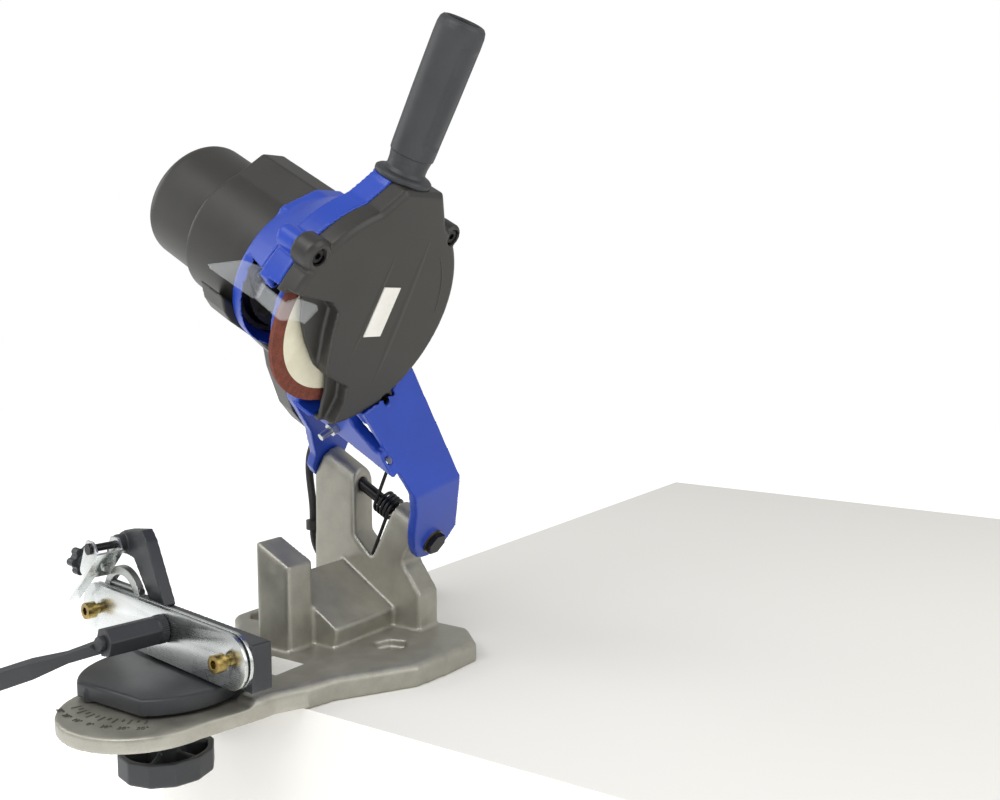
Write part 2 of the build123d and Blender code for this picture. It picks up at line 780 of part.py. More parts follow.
# handle seat, depth stop and eye shield places that the head frame needs
handle_t = -4.0
handle_back = 4.0
handle_stud_radius = 4.0
handle_stud_depth = 20.0
depth_stop_t = -16.5
depth_stop_s = 8.0
depth_stop_reach = 15.0
depth_screw_radius = 3.0
depth_boss_radius = 7.0
shield_pivot = (-wheel_radius - 1.5, 17.0)
shield_wing_t = -21.5
shield_sheet = 2.0
shield_pin_radius = 1.5
shield_lug_radius = 3.5
shield_lug_length = 7.0
shield_notch_angle = 15.0
shield_notch_radius = wheel_radius + 0.5
HANDLE = Plane(
    origin=head_point(handle_t, wheel_back + handle_back, wheel_up + guard_top),
    x_dir=hinge_axis,
    z_dir=head_up,
)

near_hinge_edge = [(-2, 65), (-55, 54)]
near_guard_edge = [(2, -68, 161), (16, -110, 119)]
near_cheek_low = [
    (-55, 54), (-43, 36), (-31, 10), (-22, -4), (-12, -15), (2, -17), (20, -10), (27, 10),
    (-2, 65),
]
far_cheek_low = [
    (-39, 32), (-19, 4), (-17, -9), (-8, -18), (8, -18), (19, -4), (19, 12), (-2, 65),
    (-70, 166), (-132, 154), (-75, 65),
]
web_foot = (-76.0, 68.0)
web_along = Vector(0, -0.545, 0.839)
web_thickness = 9.0
WEB = Plane(
    origin=head_point(0, *web_foot),
    x_dir=hinge_axis,
    z_dir=(Vector(0, -1, 0) * 0.839 - head_up * 0.545).normalized(),
)
BACK = Plane(
    origin=head_point(0, -2, 65),
    x_dir=hinge_axis,
    z_dir=(Vector(0, -1, 0) * 0.828 - head_up * 0.561).normalized(),
)


def cheek_section(near_edge, far_edge, thickness):
    """Flat section of the near cheek between two head points, thickness along the axis."""
    corners = [
        head_point(*near_edge),
        head_point(*far_edge),
        head_point(far_edge[0] - thickness, *far_edge[1:]),
        head_point(near_edge[0] - thickness, *near_edge[1:]),
    ]
    return Face(Wire.make_polygon(corners))


with BuildPart() as head_frame:
    # near cheek: flat round the hinge, then leaning in to the guard
    with BuildSketch(HEAD.offset(near_cheek_outer - cheek_thickness)):
        with BuildLine():
            Polyline(*near_cheek_low, close=True)
        make_face()
    extrude(amount=cheek_thickness)
    loft(
        sections=[
            cheek_section(
                (near_cheek_outer, *near_hinge_edge[0]),
                (near_cheek_outer, *near_hinge_edge[1]),
                cheek_thickness,
            ),
            cheek_section(*near_guard_edge, cheek_thickness),
        ],
        ruled=True,
    )
    # far cheek
    with BuildSketch(HEAD.offset(far_cheek_outer)):
        with BuildLine():
            Polyline(*far_cheek_low, close=True)
        make_face()
    extrude(amount=far_cheek_inner - far_cheek_outer)
    # front web with rib pockets in its lower end, and the back wall
    with BuildSketch(WEB):
        with BuildLine():
            Polyline(
                (far_cheek_outer + 2, 0), (48, 0), (12, 52), (-18, 60), (-18, 88),
                (far_cheek_outer + 2, 96), close=True,
            )
        make_face()
        with Locations((20, 30)):
            SlotOverall(38, 18, rotation=-25, mode=Mode.SUBTRACT)
    extrude(amount=-web_thickness)
    with BuildSketch(Plane(WEB.location * Location((0, 0, -web_thickness / 2), (-90, 0, 0)))):
        for pocket in range(7):
            with Locations((-54 + 15 * pocket, 0)):
                Rectangle(11, web_thickness - 4)
    extrude(amount=14, both=True, mode=Mode.SUBTRACT)
    with BuildSketch(BACK):
        with BuildLine():
            Polyline(
                (far_cheek_outer + 2, 0), (near_cheek_outer - 4, 0), (0, 112),
                (far_cheek_outer + 2, 112), close=True,
            )
        make_face()
    extrude(amount=4)
    # guard drum, the cone behind it and the ridge on the cone
    with BuildSketch(WHEEL.offset(guard_rear)):
        guard_outline(0, drum_boss_radii)
    extrude(amount=guard_seam - guard_rear)
    with BuildSketch(WHEEL.offset(motor_front)):
        Circle(cone_rear_radius)
    with BuildSketch(WHEEL.offset(guard_rear)):
        Circle(cone_front_radius)
    loft(ruled=True)
    with BuildSketch(WHEEL.offset(motor_front)):
        Polygon(*cone_ridge, align=None)
    extrude(amount=guard_rear - motor_front)
    # round seat under the handle
    with BuildSketch(HANDLE.offset(-14)):
        Circle(handle_flange_radius)
    extrude(amount=14)
    # wheel chamber, open to the cover
    with BuildSketch(WHEEL.offset(guard_rear + 3)):
        Circle(guard_radius - guard_wall)
    extrude(amount=90, mode=Mode.SUBTRACT)
    with BuildSketch(WHEEL.offset(guard_seam)):
        guard_outline(open_clearance, cover_boss_radii)
    extrude(amount=cover_face - guard_seam + open_clearance, mode=Mode.SUBTRACT)
    # handle stud and cover screws
    with BuildSketch(HANDLE.offset(-handle_stud_depth)):
        Circle(handle_stud_radius + running_clearance)
    extrude(amount=60, mode=Mode.SUBTRACT)
    with BuildSketch(WHEEL.offset(guard_rear + 5)):
        with Locations(*boss_points):
            Circle(cover_screw_radius + running_clearance)
    extrude(amount=60, mode=Mode.SUBTRACT)
    # hollow of the cone
    with BuildSketch(WHEEL.offset(motor_front)):
        Circle(cone_rear_radius - 6)
    with BuildSketch(WHEEL.offset(guard_rear - 3)):
        Circle(cone_front_radius - 6)
    loft(ruled=True, mode=Mode.SUBTRACT)
    with BuildSketch(WHEEL.offset(motor_front - 40)):
        Circle(motor_radius + open_clearance)
    extrude(amount=40, mode=Mode.SUBTRACT)
    # bearing boss in the wall between wheel and motor
    with BuildSketch(WHEEL.offset(front_bearing_t[0])):
        Circle(bearing_boss_radius)
    extrude(amount=guard_rear - front_bearing_t[0])
    with BuildSketch(WHEEL.offset(front_bearing_t[0])):
        Circle(front_bearing_radius)
    extrude(amount=front_bearing_t[1] - front_bearing_t[0], mode=Mode.SUBTRACT)
    with BuildSketch(WHEEL.offset(front_bearing_t[0])):
        Circle(shaft_collar_radius + 1)
    extrude(amount=60, mode=Mode.SUBTRACT)
    # the wheel's opening
    with BuildSketch(WHEEL.offset(motor_front)):
        opening_sector(140)
        Circle(opening_inner_radius, mode=Mode.SUBTRACT)
    extrude(amount=guard_seam - motor_front, mode=Mode.SUBTRACT)
    # notch that the wing of the eye shield swings through
    with BuildSketch(WHEEL.offset(shield_wing_t - 4)):
        opening_sector(140)
        with Locations(Location((0, 0, 0), (0, 0, -shield_notch_angle))):
            opening_sector(140)
        Circle(shield_notch_radius, mode=Mode.SUBTRACT)
    extrude(amount=guard_rear - shield_wing_t + 4, mode=Mode.SUBTRACT)
    # lug for the shield's pin, joined to the drum's rim
    with BuildSketch(WHEEL.offset(guard_rear)):
        with Locations(shield_pivot):
            Circle(shield_lug_radius)
        Polygon(
            shield_pivot, (shield_pivot[0] - 4, shield_pivot[1] - 1),
            (-guard_radius + 2, 22), (-guard_radius + 6, 28), align=None,
        )
    extrude(amount=shield_lug_length)
    with BuildSketch(WHEEL.offset(-30)):
        with Locations(shield_pivot):
            Circle(shield_pin_radius + running_clearance)
    extrude(amount=60, mode=Mode.SUBTRACT)
    # boss and thread of the depth stop
    with BuildSketch(WEB.offset(-web_thickness)):
        with Locations((depth_stop_t, depth_stop_s)):
            Circle(depth_boss_radius)
    extrude(amount=web_thickness)
    with BuildSketch(WEB.offset(-40)):
        with Locations((depth_stop_t, depth_stop_s)):
            Circle(depth_screw_radius + running_clearance)
    extrude(amount=60, mode=Mode.SUBTRACT)
    # hinge bores
    with BuildSketch(HEAD.offset(-100)):
        Circle(hinge_bolt_diameter / 2 + running_clearance)
    extrude(amount=200, mode=Mode.SUBTRACT)
head_frame.part.label = "head_frame"
export_step(head_frame.part, "parts/head_frame.step")

# cover: shallow shell with a recessed pad beside the opening
cover_wall = 3.0
pad_level = 8.0
cover_edge = 3.0
pad_outline = [
    (-84, 24), (-46, 17), (-36, 9), (-33, -8), (-26, -34), (-21, -42), (5, -53), (9, -66),
    (6, -90),
]
opening_outline = [
    (-66, 20), (-57, -2), (-44, -20), (-27, -38), (-11, -48), (-5, -60), (0, -81), (2, -95),
]
far_corners = [(-60, -100), (-120, -60)]
pad_corner = (-120, 30)
opening_corner = (-120, 20)
cover_screw_seat = 7.0

with BuildPart() as wheel_cover:
    with BuildSketch(WHEEL.offset(guard_seam)):
        guard_outline(0, cover_boss_radii)
    extrude(amount=cover_face - guard_seam)
    chamfer(
        wheel_cover.faces().sort_by(Axis((0, 0, 0), hinge_axis))[-1].edges(), length=cover_edge
    )
    with BuildSketch(WHEEL.offset(guard_seam)):
        Circle(guard_radius - cover_wall)
    extrude(amount=cover_face - cover_wall - guard_seam, mode=Mode.SUBTRACT)
    # recessed pad
    with BuildSketch(WHEEL.offset(pad_level)):
        Polygon(*pad_outline, *far_corners, pad_corner, align=None)
    extrude(amount=40, mode=Mode.SUBTRACT)
    with BuildSketch(WHEEL.offset(pad_level - cover_wall)):
        Polygon(*pad_outline, *far_corners, pad_corner, align=None)
        Circle(guard_radius - 1, mode=Mode.INTERSECT)
    extrude(amount=cover_wall)
    with BuildSketch(WHEEL.offset(pad_level - cover_wall)):
        Polygon(*pad_outline, *far_corners, pad_corner, align=None)
        Circle(guard_radius - 1, mode=Mode.INTERSECT)
        offset(amount=cover_wall / 2)
        Polygon(*pad_outline, *far_corners, pad_corner, align=None, mode=Mode.SUBTRACT)
        Circle(guard_radius - 1, mode=Mode.INTERSECT)
    extrude(amount=cover_face - cover_wall - pad_level + cover_wall)
    # the wheel's opening
    with BuildSketch(WHEEL.offset(guard_seam - 1)):
        Polygon(*opening_outline, *far_corners, opening_corner, align=None)
    extrude(amount=60, mode=Mode.SUBTRACT)
    # counterbored screw holes
    with BuildSketch(WHEEL.offset(guard_seam - 1)):
        with Locations(*boss_points):
            Circle(cover_screw_radius + slide_clearance)
    extrude(amount=40, mode=Mode.SUBTRACT)
    with BuildSketch(WHEEL.offset(cover_face - cover_screw_seat)):
        with Locations(*boss_points):
            Circle(6)
    extrude(amount=20, mode=Mode.SUBTRACT)
wheel_cover.part.label = "wheel_cover"
export_step(wheel_cover.part, "parts/wheel_cover.step")

with BuildPart() as cover_screws:
    with BuildSketch(WHEEL.offset(guard_rear + 6)):
        with Locations(*boss_points):
            Circle(cover_screw_radius)
    extrude(amount=cover_face - cover_screw_seat - guard_rear - 6)
    with BuildSketch(WHEEL.offset(cover_face - cover_screw_seat)):
        with Locations(*boss_points):
            Circle(4.6)
    extrude(amount=4.5)
    with BuildSketch(WHEEL.offset(cover_face - 5)):
        with Locations(*boss_points):
            RegularPolygon(2.2, 6, major_radius=False)
    extrude(amount=8, mode=Mode.SUBTRACT)
cover_screws.part.label = "cover_screws"
export_step(cover_screws.part, "parts/cover_screws.step")

# ---------------------------------------------------------------- handle
handle_stud_reach = 28.0
with BuildPart() as handle:
    with BuildSketch(HANDLE):
        Circle(handle_flange_radius)
    extrude(amount=4)
    fillet(handle.faces().sort_by(Axis((0, 0, 0), head_up))[-1].edges(), radius=2)
    with BuildSketch(HANDLE.offset(4)):
        Circle(handle_radius - 3.5)
    with BuildSketch(HANDLE.offset(18)):
        Circle(handle_radius - 1.5)
    with BuildSketch(HANDLE.offset(handle_length - 16)):
        Circle(handle_radius)
    with BuildSketch(HANDLE.offset(handle_length)):
        Circle(handle_radius - 1)
    loft(ruled=True)
    with BuildSketch(HANDLE.offset(handle_length - 10)):
        Circle(handle_radius - 5)
    extrude(amount=20, mode=Mode.SUBTRACT)
    with BuildSketch(HANDLE):
        Circle(handle_stud_radius + running_clearance)
    extrude(amount=handle_stud_reach + open_clearance, mode=Mode.SUBTRACT)
handle.part.label = "handle"
export_step(handle.part, "parts/handle.step")

with BuildPart() as handle_stud:
    with BuildSketch(HANDLE.offset(-handle_stud_depth)):
        Circle(handle_stud_radius)
    extrude(amount=handle_stud_depth + handle_stud_reach)
handle_stud.part.label = "handle_stud"
export_step(handle_stud.part, "parts/handle_stud.step")

# ---------------------------------------------------------------- motor
motor_box = [(-40, 30), (-6, 62), (14, 62), (33, 36)]

with BuildPart() as motor_housing:
    with BuildSketch(WHEEL.offset(motor_step)):
        Circle(motor_radius)
        Polygon(*motor_box, align=None)
    extrude(amount=motor_front - motor_step)
    fillet(motor_housing.faces().sort_by(Axis((0, 0, 0), hinge_axis))[0].edges(), radius=2.5)
    with BuildSketch(WHEEL.offset(motor_step)):
        Circle(motor_radius - motor_wall)
    extrude(amount=motor_front - motor_step, mode=Mode.SUBTRACT)
motor_housing.part.label = "motor_housing"
export_step(motor_housing.part, "parts/motor_housing.step")

with BuildPart() as rear_cap:
    with BuildSketch(WHEEL.offset(motor_end)):
        Circle(cap_radius)
    extrude(amount=motor_step - motor_end - slide_clearance)
    fillet(rear_cap.faces().sort_by(Axis((0, 0, 0), hinge_axis))[0].edges(), radius=9)
    with BuildSketch(WHEEL.offset(rear_bearing_t[1])):
        Circle(cap_radius - 4)
    extrude(amount=80, mode=Mode.SUBTRACT)
    with BuildSketch(WHEEL.offset(rear_bearing_t[0])):
        Circle(rear_bearing_radius)
    extrude(amount=20, mode=Mode.SUBTRACT)
    with BuildSketch(WHEEL.offset(spindle_rear - 1)):
        Circle(spindle_diameter / 2 + open_clearance)
    extrude(amount=20, mode=Mode.SUBTRACT)
    # cooling slots in the end
    with BuildSketch(WHEEL.offset(motor_end - 1)):
        with PolarLocations(26, 10):
            SlotOverall(20, 4)
    extrude(amount=30, mode=Mode.SUBTRACT)
rear_cap.part.label = "rear_cap"
export_step(rear_cap.part, "parts/rear_cap.step")

with BuildPart() as stator:
    with BuildSketch(WHEEL.offset(armature_t[0] - 2)):
        Circle(motor_radius - motor_wall)
        Circle(armature_radius + 1, mode=Mode.SUBTRACT)
    extrude(amount=armature_t[1] - armature_t[0] + 4)
stator.part.label = "stator"
export_step(stator.part, "parts/stator.step")

brush_t = (commutator_t[0] + commutator_t[1]) / 2
with BuildPart() as carbon_brushes:
    for side in (-1, 1):
        brush_plane = Plane(
            origin=head_point(
                brush_t, wheel_back + side * (commutator_radius + 0.2), wheel_up
            ),
            x_dir=hinge_axis,
            z_dir=(0, side, 0),
        )
        with BuildSketch(brush_plane):
            Rectangle(7, 6)
        extrude(amount=16)
carbon_brushes.part.label = "carbon_brushes"
export_step(carbon_brushes.part, "parts/carbon_brushes.step")

with BuildPart() as brush_holders:
    for side in (-1, 1):
        holder_plane = Plane(
            origin=head_point(
                brush_t, wheel_back + side * (commutator_radius + 4), wheel_up
            ),
            x_dir=hinge_axis,
            z_dir=(0, side, 0),
        )
        with BuildSketch(holder_plane):
            Rectangle(11, 10)
            Rectangle(7.2, 6.2, mode=Mode.SUBTRACT)
        extrude(amount=cap_radius - 4 - commutator_radius - 4.3)
brush_holders.part.label = "brush_holders"
export_step(brush_holders.part, "parts/brush_holders.step")

# lower housing: switch box under the motor and the cable leg beside the far cheek
box_far = -84.0
leg_far = -95.0
leg_near = far_cheek_outer - 0.4
box_profile = [(-62, -20), (-53, -34), (-44, -42), (10, -70), (0, -52)]
bridge_profile = [(-20, -52), (10, -70), (18, -76), (34, -60), (20, -46), (0, -48)]
leg_profile = [
    (6, -68), (18, -76), (37, -88), (48, -105), (79, -142), (102, -160), (150, -160),
    (150, -142), (136, -124), (62, -40), (47, -24), (10, -50),
]
rocker_back = -70.0
rocker_up = 90.0
rocker_pivot_t = -93.0
rocker_size = (12.0, 20.0, 10.0)
rocker_tilt = 8.0
rocker_room = 1.0
gland_back = 2.0
gland_up = 30.0
gland_t = -89.0
gland_neck = 4.6
gland_wide = 6.0
gland_thin = 4.5
gland_length = 26.0
lead_radius = 3.5
GLAND = Plane(
    origin=head_point(gland_t, gland_back, gland_up), x_dir=hinge_axis, z_dir=head_up * -1
)

with BuildPart() as lower_housing:
    with BuildSketch(WHEEL.offset(box_far)):
        Polygon(*box_profile, align=None)
        Circle(motor_radius + slide_clearance, mode=Mode.SUBTRACT)
    extrude(amount=motor_front - open_clearance - box_far)
    with BuildSketch(WHEEL.offset(leg_far)):
        Polygon(*leg_profile, align=None)
        Polygon(*bridge_profile, align=None)
        Circle(motor_radius + slide_clearance, mode=Mode.SUBTRACT)
    extrude(amount=leg_near - leg_far)
    fillet(
        lower_housing.faces().sort_by(Axis((0, 0, 0), hinge_axis))[0].edges(), radius=2
    )
    # pocket of the switch
    with BuildSketch(HEAD.offset(leg_far - 1)):
        with Locations((rocker_back, rocker_up)):
            Rectangle(rocker_size[0] + 2 * open_clearance, rocker_size[1] + 2 * rocker_room)
    extrude(amount=12, mode=Mode.SUBTRACT)
    # hole of the strain relief
    with BuildSketch(GLAND):
        Circle(gland_neck + running_clearance)
    extrude(amount=-12, mode=Mode.SUBTRACT)
lower_housing.part.label = "lower_housing"
export_step(lower_housing.part, "parts/lower_housing.step")

rocker_face = hinge_axis * -cos(radians(rocker_tilt)) + head_up * sin(radians(rocker_tilt))
ROCKER = Plane(
    origin=head_point(rocker_pivot_t, rocker_back, rocker_up), x_dir=(0, 1, 0), z_dir=rocker_face
)
with BuildPart() as switch_rocker:
    with BuildSketch(ROCKER.offset(-rocker_size[2] / 2)):
        Rectangle(rocker_size[0], rocker_size[1])
    extrude(amount=rocker_size[2])
    fillet(switch_rocker.edges().filter_by(Axis.Y), radius=1.5)
switch_rocker.part.label = "switch_rocker"
export_step(switch_rocker.part, "parts/switch_rocker.step")

with BuildPart() as strain_relief:
    with BuildSketch(GLAND.offset(-10)):
        Circle(gland_neck)
    extrude(amount=10)
    with BuildSketch(GLAND):
        Circle(gland_wide)
    with BuildSketch(GLAND.offset(gland_length)):
        Circle(gland_thin)
    loft()
strain_relief.part.label = "strain_relief"
export_step(strain_relief.part, "parts/strain_relief.step")

# ---------------------------------------------------------------- hinge
hinge_head_t = 67.0
hinge_nut_t = -82.0
hinge_washer = 1.6
with BuildPart() as hinge_bolt:
    with BuildSketch(HEAD.offset(near_cheek_outer + hinge_washer)):
        RegularPolygon(8.5, 6, major_radius=False)
    extrude(amount=hinge_head_t - near_cheek_outer - hinge_washer)
    with BuildSketch(HEAD.offset(hinge_nut_t - 2)):
        Circle(hinge_bolt_diameter / 2)
    extrude(amount=near_cheek_outer + hinge_washer - hinge_nut_t + 2)
hinge_bolt.part.label = "hinge_bolt"
export_step(hinge_bolt.part, "parts/hinge_bolt.step")

with BuildPart() as hinge_nut:
    with BuildSketch(HEAD.offset(hinge_nut_t)):
        RegularPolygon(8.5, 6, major_radius=False)
        Circle(hinge_bolt_diameter / 2 + running_clearance, mode=Mode.SUBTRACT)
    extrude(amount=far_cheek_outer - hinge_washer - hinge_nut_t)
hinge_nut.part.label = "hinge_nut"
export_step(hinge_nut.part, "parts/hinge_nut.step")

with BuildPart() as hinge_washers:
    for washer_t in (near_cheek_outer, far_cheek_outer - hinge_washer):
        with BuildSketch(HEAD.offset(washer_t)):
            Circle(10.5)
            Circle(hinge_bolt_diameter / 2 + running_clearance, mode=Mode.SUBTRACT)
        extrude(amount=hinge_washer)
hinge_washers.part.label = "hinge_washers"
export_step(hinge_washers.part, "parts/hinge_washers.step")

# ---------------------------------------------------------------- depth stop
depth_nut_across_flats = 10.0
depth_nut_height = 5.0
depth_head_back = 18.0

with BuildPart() as depth_stop_screw:
    with BuildSketch(WEB.offset(-depth_head_back)):
        with Locations((depth_stop_t, depth_stop_s)):
            Circle(depth_screw_radius)
    extrude(amount=depth_head_back + depth_stop_reach)
    with BuildSketch(WEB.offset(-depth_head_back)):
        with Locations((depth_stop_t, depth_stop_s)):
            RegularPolygon(depth_nut_across_flats / 2, 6, major_radius=False)
    extrude(amount=-4)
depth_stop_screw.part.label = "depth_stop_screw"
export_step(depth_stop_screw.part, "parts/depth_stop_screw.step")

with BuildPart() as depth_stop_nut:
    with BuildSketch(WEB.offset(slide_clearance)):
        with Locations((depth_stop_t, depth_stop_s)):
            RegularPolygon(depth_nut_across_flats / 2, 6, major_radius=False)
            Circle(depth_screw_radius + running_clearance, mode=Mode.SUBTRACT)
    extrude(amount=depth_nut_height)
depth_stop_nut.part.label = "depth_stop_nut"
export_step(depth_stop_nut.part, "parts/depth_stop_nut.step")

# ---------------------------------------------------------------- eye shield
strip_front_t = 10.0


def from_rim(points):
    """Points given forwards of the wheel's front rim, turned to places about its centre."""
    return [(x - wheel_radius, y) for x, y in points]


strip_front = from_rim([(-9, 2), (-9, 14), (-7, 14), (-7, 2)])
strip_rear = from_rim([(-3.5, 1), (-3.5, 12.5), (-1.5, 12.5), (-1.5, 1)])
wing_outline = from_rim(
    [(-1.5, 22), (-23.5, 28), (-51.5, 25), (-48.5, 22), (-5.5, 1), (0.5, 1), (3.5, 17)]
)
tab_outline = from_rim([(-9, 14), (1.5, 17), (20.5, 12), (23.5, 8), (15.5, -2), (7.5, 1), (-9, 2)])

with BuildPart() as eye_shield:
    for strip_t, strip_section in (
        (shield_wing_t, strip_rear), (strip_front_t - shield_sheet / 2, strip_front),
    ):
        with BuildSketch(WHEEL.offset(strip_t)):
            Polygon(*strip_section, align=None)
    loft(ruled=True)
    with BuildSketch(WHEEL.offset(shield_wing_t)):
        Polygon(*wing_outline, align=None)
    extrude(amount=shield_sheet)
    with BuildSketch(WHEEL.offset(strip_front_t - shield_sheet / 2)):
        Polygon(*tab_outline, align=None)
    extrude(amount=shield_sheet)
    with BuildSketch(WHEEL.offset(shield_wing_t - 10)):
        with Locations(shield_pivot):
            Circle(shield_pin_radius + running_clearance)
    extrude(amount=20, mode=Mode.SUBTRACT)
eye_shield.part.label = "eye_shield"
export_step(eye_shield.part, "parts/eye_shield.step")

with BuildPart() as shield_pin:
    with BuildSketch(WHEEL.offset(shield_wing_t - open_clearance - 1.5)):
        with Locations(shield_pivot):
            Circle(shield_pin_radius + 1.5)
    extrude(amount=1.5)
    with BuildSketch(WHEEL.offset(shield_wing_t - open_clearance)):
        with Locations(shield_pivot):
            Circle(shield_pin_radius)
    extrude(amount=guard_rear + shield_lug_length - shield_wing_t + open_clearance)
shield_pin.part.label = "shield_pin"
export_step(shield_pin.part, "parts/shield_pin.step")


# ---------------------------------------------------------------- wound forms
def biarc(start, start_way, end, end_way):
    """Two arcs that leave start along start_way and reach end along end_way."""
    span = end - start
    both = start_way + end_way
    squared = 2 * (start_way.dot(end_way) - 1)
    reach = span.dot(span) / (2 * span.dot(both))
    if abs(squared) > 1e-9:
        middle = span.dot(both)
        reach = (middle - sqrt(middle * middle - squared * span.dot(span))) / squared
        if reach < 0:
            reach = (middle + sqrt(middle * middle - squared * span.dot(span))) / squared
    first_corner = start + start_way * reach
    last_corner = end - end_way * reach
    join = (first_corner + last_corner) / 2
    for near, corner, far in ((start, first_corner, join), (join, last_corner, end)):
        half_chord = (far - near).length / 2
        chord_middle = (near + far) / 2
        rise = corner - chord_middle
        lean = rise.length / half_chord
        sagitta = half_chord * (sqrt(1 + lean * lean) - 1) / lean
        ThreePointArc(near, chord_middle + rise.normalized() * sagitta, far)


def curve_way(place, turn):
    """Unit tangent of a curve given by the turns done."""
    step = 1e-4
    return (place(turn + step) - place(turn - step)).normalized()


def wound_path(place, turns, steps, lead_in, lead_out):
    """Straight end, quarter or half turns as biarcs, straight end."""
    marks = [turns * step / steps for step in range(steps + 1)]
    start_way = curve_way(place, marks[0])
    end_way = curve_way(place, marks[-1])
    Line(place(marks[0]) - start_way * lead_in, place(marks[0]))
    for near, far in zip(marks[:-1], marks[1:]):
        biarc(place(near), curve_way(place, near), place(far), curve_way(place, far))
    Line(place(marks[-1]), place(marks[-1]) + end_way * lead_out)


def least_gap(place, turns, diameter):
    """Least clear gap between stretches of a wound tube that are half a turn apart or more."""
    count = int(turns * 72)
    points = [place(turns * index / count) for index in range(count + 1)]
    apart = 36
    return min(
        (points[first] - points[second]).length
        for first in range(count + 1)
        for second in range(first + apart, count + 1)
    ) - diameter


# torsion spring round the hinge bolt: it lifts the head
spring_wire = 3.0
spring_radius = 9.5
spring_pitch = 3.8
spring_turns = 4
spring_start_t = 16.5
spring_head_leg = 66.3
spring_base_leg = 41.8


def spring_place(turn):
    """Point of the spring's centre line after a number of turns."""
    angle = pi - 2 * pi * turn
    return head_point(
        spring_start_t - spring_pitch * turn, spring_radius * cos(angle), spring_radius * sin(angle)
    )


with BuildPart() as torsion_spring:
    with BuildLine() as spring_line:
        wound_path(spring_place, spring_turns, 4 * spring_turns, spring_base_leg, spring_head_leg)
    with BuildSketch(Plane(spring_line.line @ 0, z_dir=spring_line.line % 0)):
        Circle(spring_wire / 2)
    sweep(path=spring_line.line)
print("spring gap", round(least_gap(spring_place, spring_turns, spring_wire), 2))
torsion_spring.part.label = "torsion_spring"
export_step(torsion_spring.part, "parts/torsion_spring.step")

# ---------------------------------------------------------------- mains lead
lead_diameter = 2 * lead_radius
clip_top = (-56.0, 47.5, 95.0)
clip_height = 8.0
clip_wall = 3.0
tower_left = tower_profile[0][0]
gland_end = GLAND.from_local_coords(Vector(0, 0, gland_length))
loop_route = [
    gland_end, gland_end - head_up * 14, (-64.0, 51.5, 140.5), (-62.2, 51.0, 127.5),
    (-56.0, 47.5, 109.0), clip_top,
]
coil_centre = Vector(-69.0, 143.0, 0)
coil_outer = 48.0
coil_step = lead_diameter + 0.9
coil_layer_turns = 2.5
coil_climb_turns = 0.5
coil_floor = lead_radius
coil_top = coil_floor + coil_step
coil_dip = 1.6
coil_turns = 2 * coil_layer_turns + coil_climb_turns
coil_approach = 24.0
plug_axis_up = 7.0
plug_spread = 6.0
tail_route = [
    clip_top, (-56.0, 47.5, 75.0), (-54.0, 58.0, 56.0), (-47.0, 74.0, 38.0),
    (-31.0, 92.0, 22.0),
]


def ease(share):
    """Smooth step from 0 to 1."""
    return share * share * (3 - 2 * share)


def coil_place(turn):
    """Point of the coil: in on the upper layer, down a layer, out on the lower layer."""
    climb = min(max((turn - coil_layer_turns) / coil_climb_turns, 0.0), 1.0)
    last = min(max(4 * (turn - coil_turns) + 1, 0.0), 1.0)
    outwards = max(turn - coil_layer_turns - coil_climb_turns, 0.0)
    inwards = min(turn, coil_layer_turns)
    radius = coil_outer - coil_step * (inwards - outwards)
    radius += plug_spread * ease(last) - coil_dip * sin(pi * climb)
    height = coil_top - coil_step * ease(climb) + (plug_axis_up - coil_floor) * ease(last)
    angle = 2 * pi * turn
    return coil_centre + Vector(radius * cos(angle), radius * sin(angle), height)


coil_start = coil_place(0) - curve_way(coil_place, 0) * lead_diameter
tail_route += [coil_start - curve_way(coil_place, 0) * coil_approach, coil_start]


def route_radii(route):
    """Radius of each corner of a cord's route, 0.45 of its shorter run over tan(half turn)."""
    points = [Vector(point) for point in route]
    radii = []
    for before, corner, after in zip(points[:-2], points[1:-1], points[2:]):
        turn = radians((corner - before).get_angle(after - corner))
        shorter = min((corner - before).length, (after - corner).length)
        radii.append(0.45 * shorter / tan(turn / 2))
    return radii


def report_tube(name, line, part):
    """Print a tube's length and its volume as a share of section times length."""
    length = line.wires()[0].length
    share = part.volume / (pi * lead_radius**2 * length)
    print(name, "length", round(length, 1), "volume share", round(share, 4))


for name, route in (("lead_loop", loop_route), ("lead_tail", tail_route)):
    print(name, "radii", [round(radius, 1) for radius in route_radii(route)])

with BuildPart() as lead_loop:
    with BuildLine() as loop_line:
        FilletPolyline(*loop_route, radius=route_radii(loop_route))
    with BuildSketch(Plane(loop_line.line @ 0, z_dir=loop_line.line % 0)):
        Circle(lead_radius)
    sweep(path=loop_line.line)
lead_loop.part.label = "lead_loop"
export_step(lead_loop.part, "parts/lead_loop.step")
report_tube("lead_loop", loop_line.line, lead_loop.part)

with BuildPart() as lead_tail:
    with BuildLine() as tail_line:
        FilletPolyline(*tail_route, radius=route_radii(tail_route))
    with BuildSketch(Plane(tail_line.line @ 0, z_dir=tail_line.line % 0)):
        Circle(lead_radius)
    sweep(path=tail_line.line)
lead_tail.part.label = "lead_tail"
export_step(lead_tail.part, "parts/lead_tail.step")
report_tube("lead_tail", tail_line.line, lead_tail.part)

with BuildPart() as lead_coil:
    with BuildLine() as coil_line:
        wound_path(coil_place, coil_turns, int(4 * coil_turns), lead_diameter, lead_diameter)
    with BuildSketch(Plane(coil_line.line @ 0, z_dir=coil_line.line % 0)):
        Circle(lead_radius)
    sweep(path=coil_line.line)
lead_coil.part.label = "lead_coil"
export_step(lead_coil.part, "parts/lead_coil.step")
report_tube("lead_coil", coil_line.line, lead_coil.part)
print("lead_coil gap", round(least_gap(coil_place, coil_turns, lead_diameter), 2))

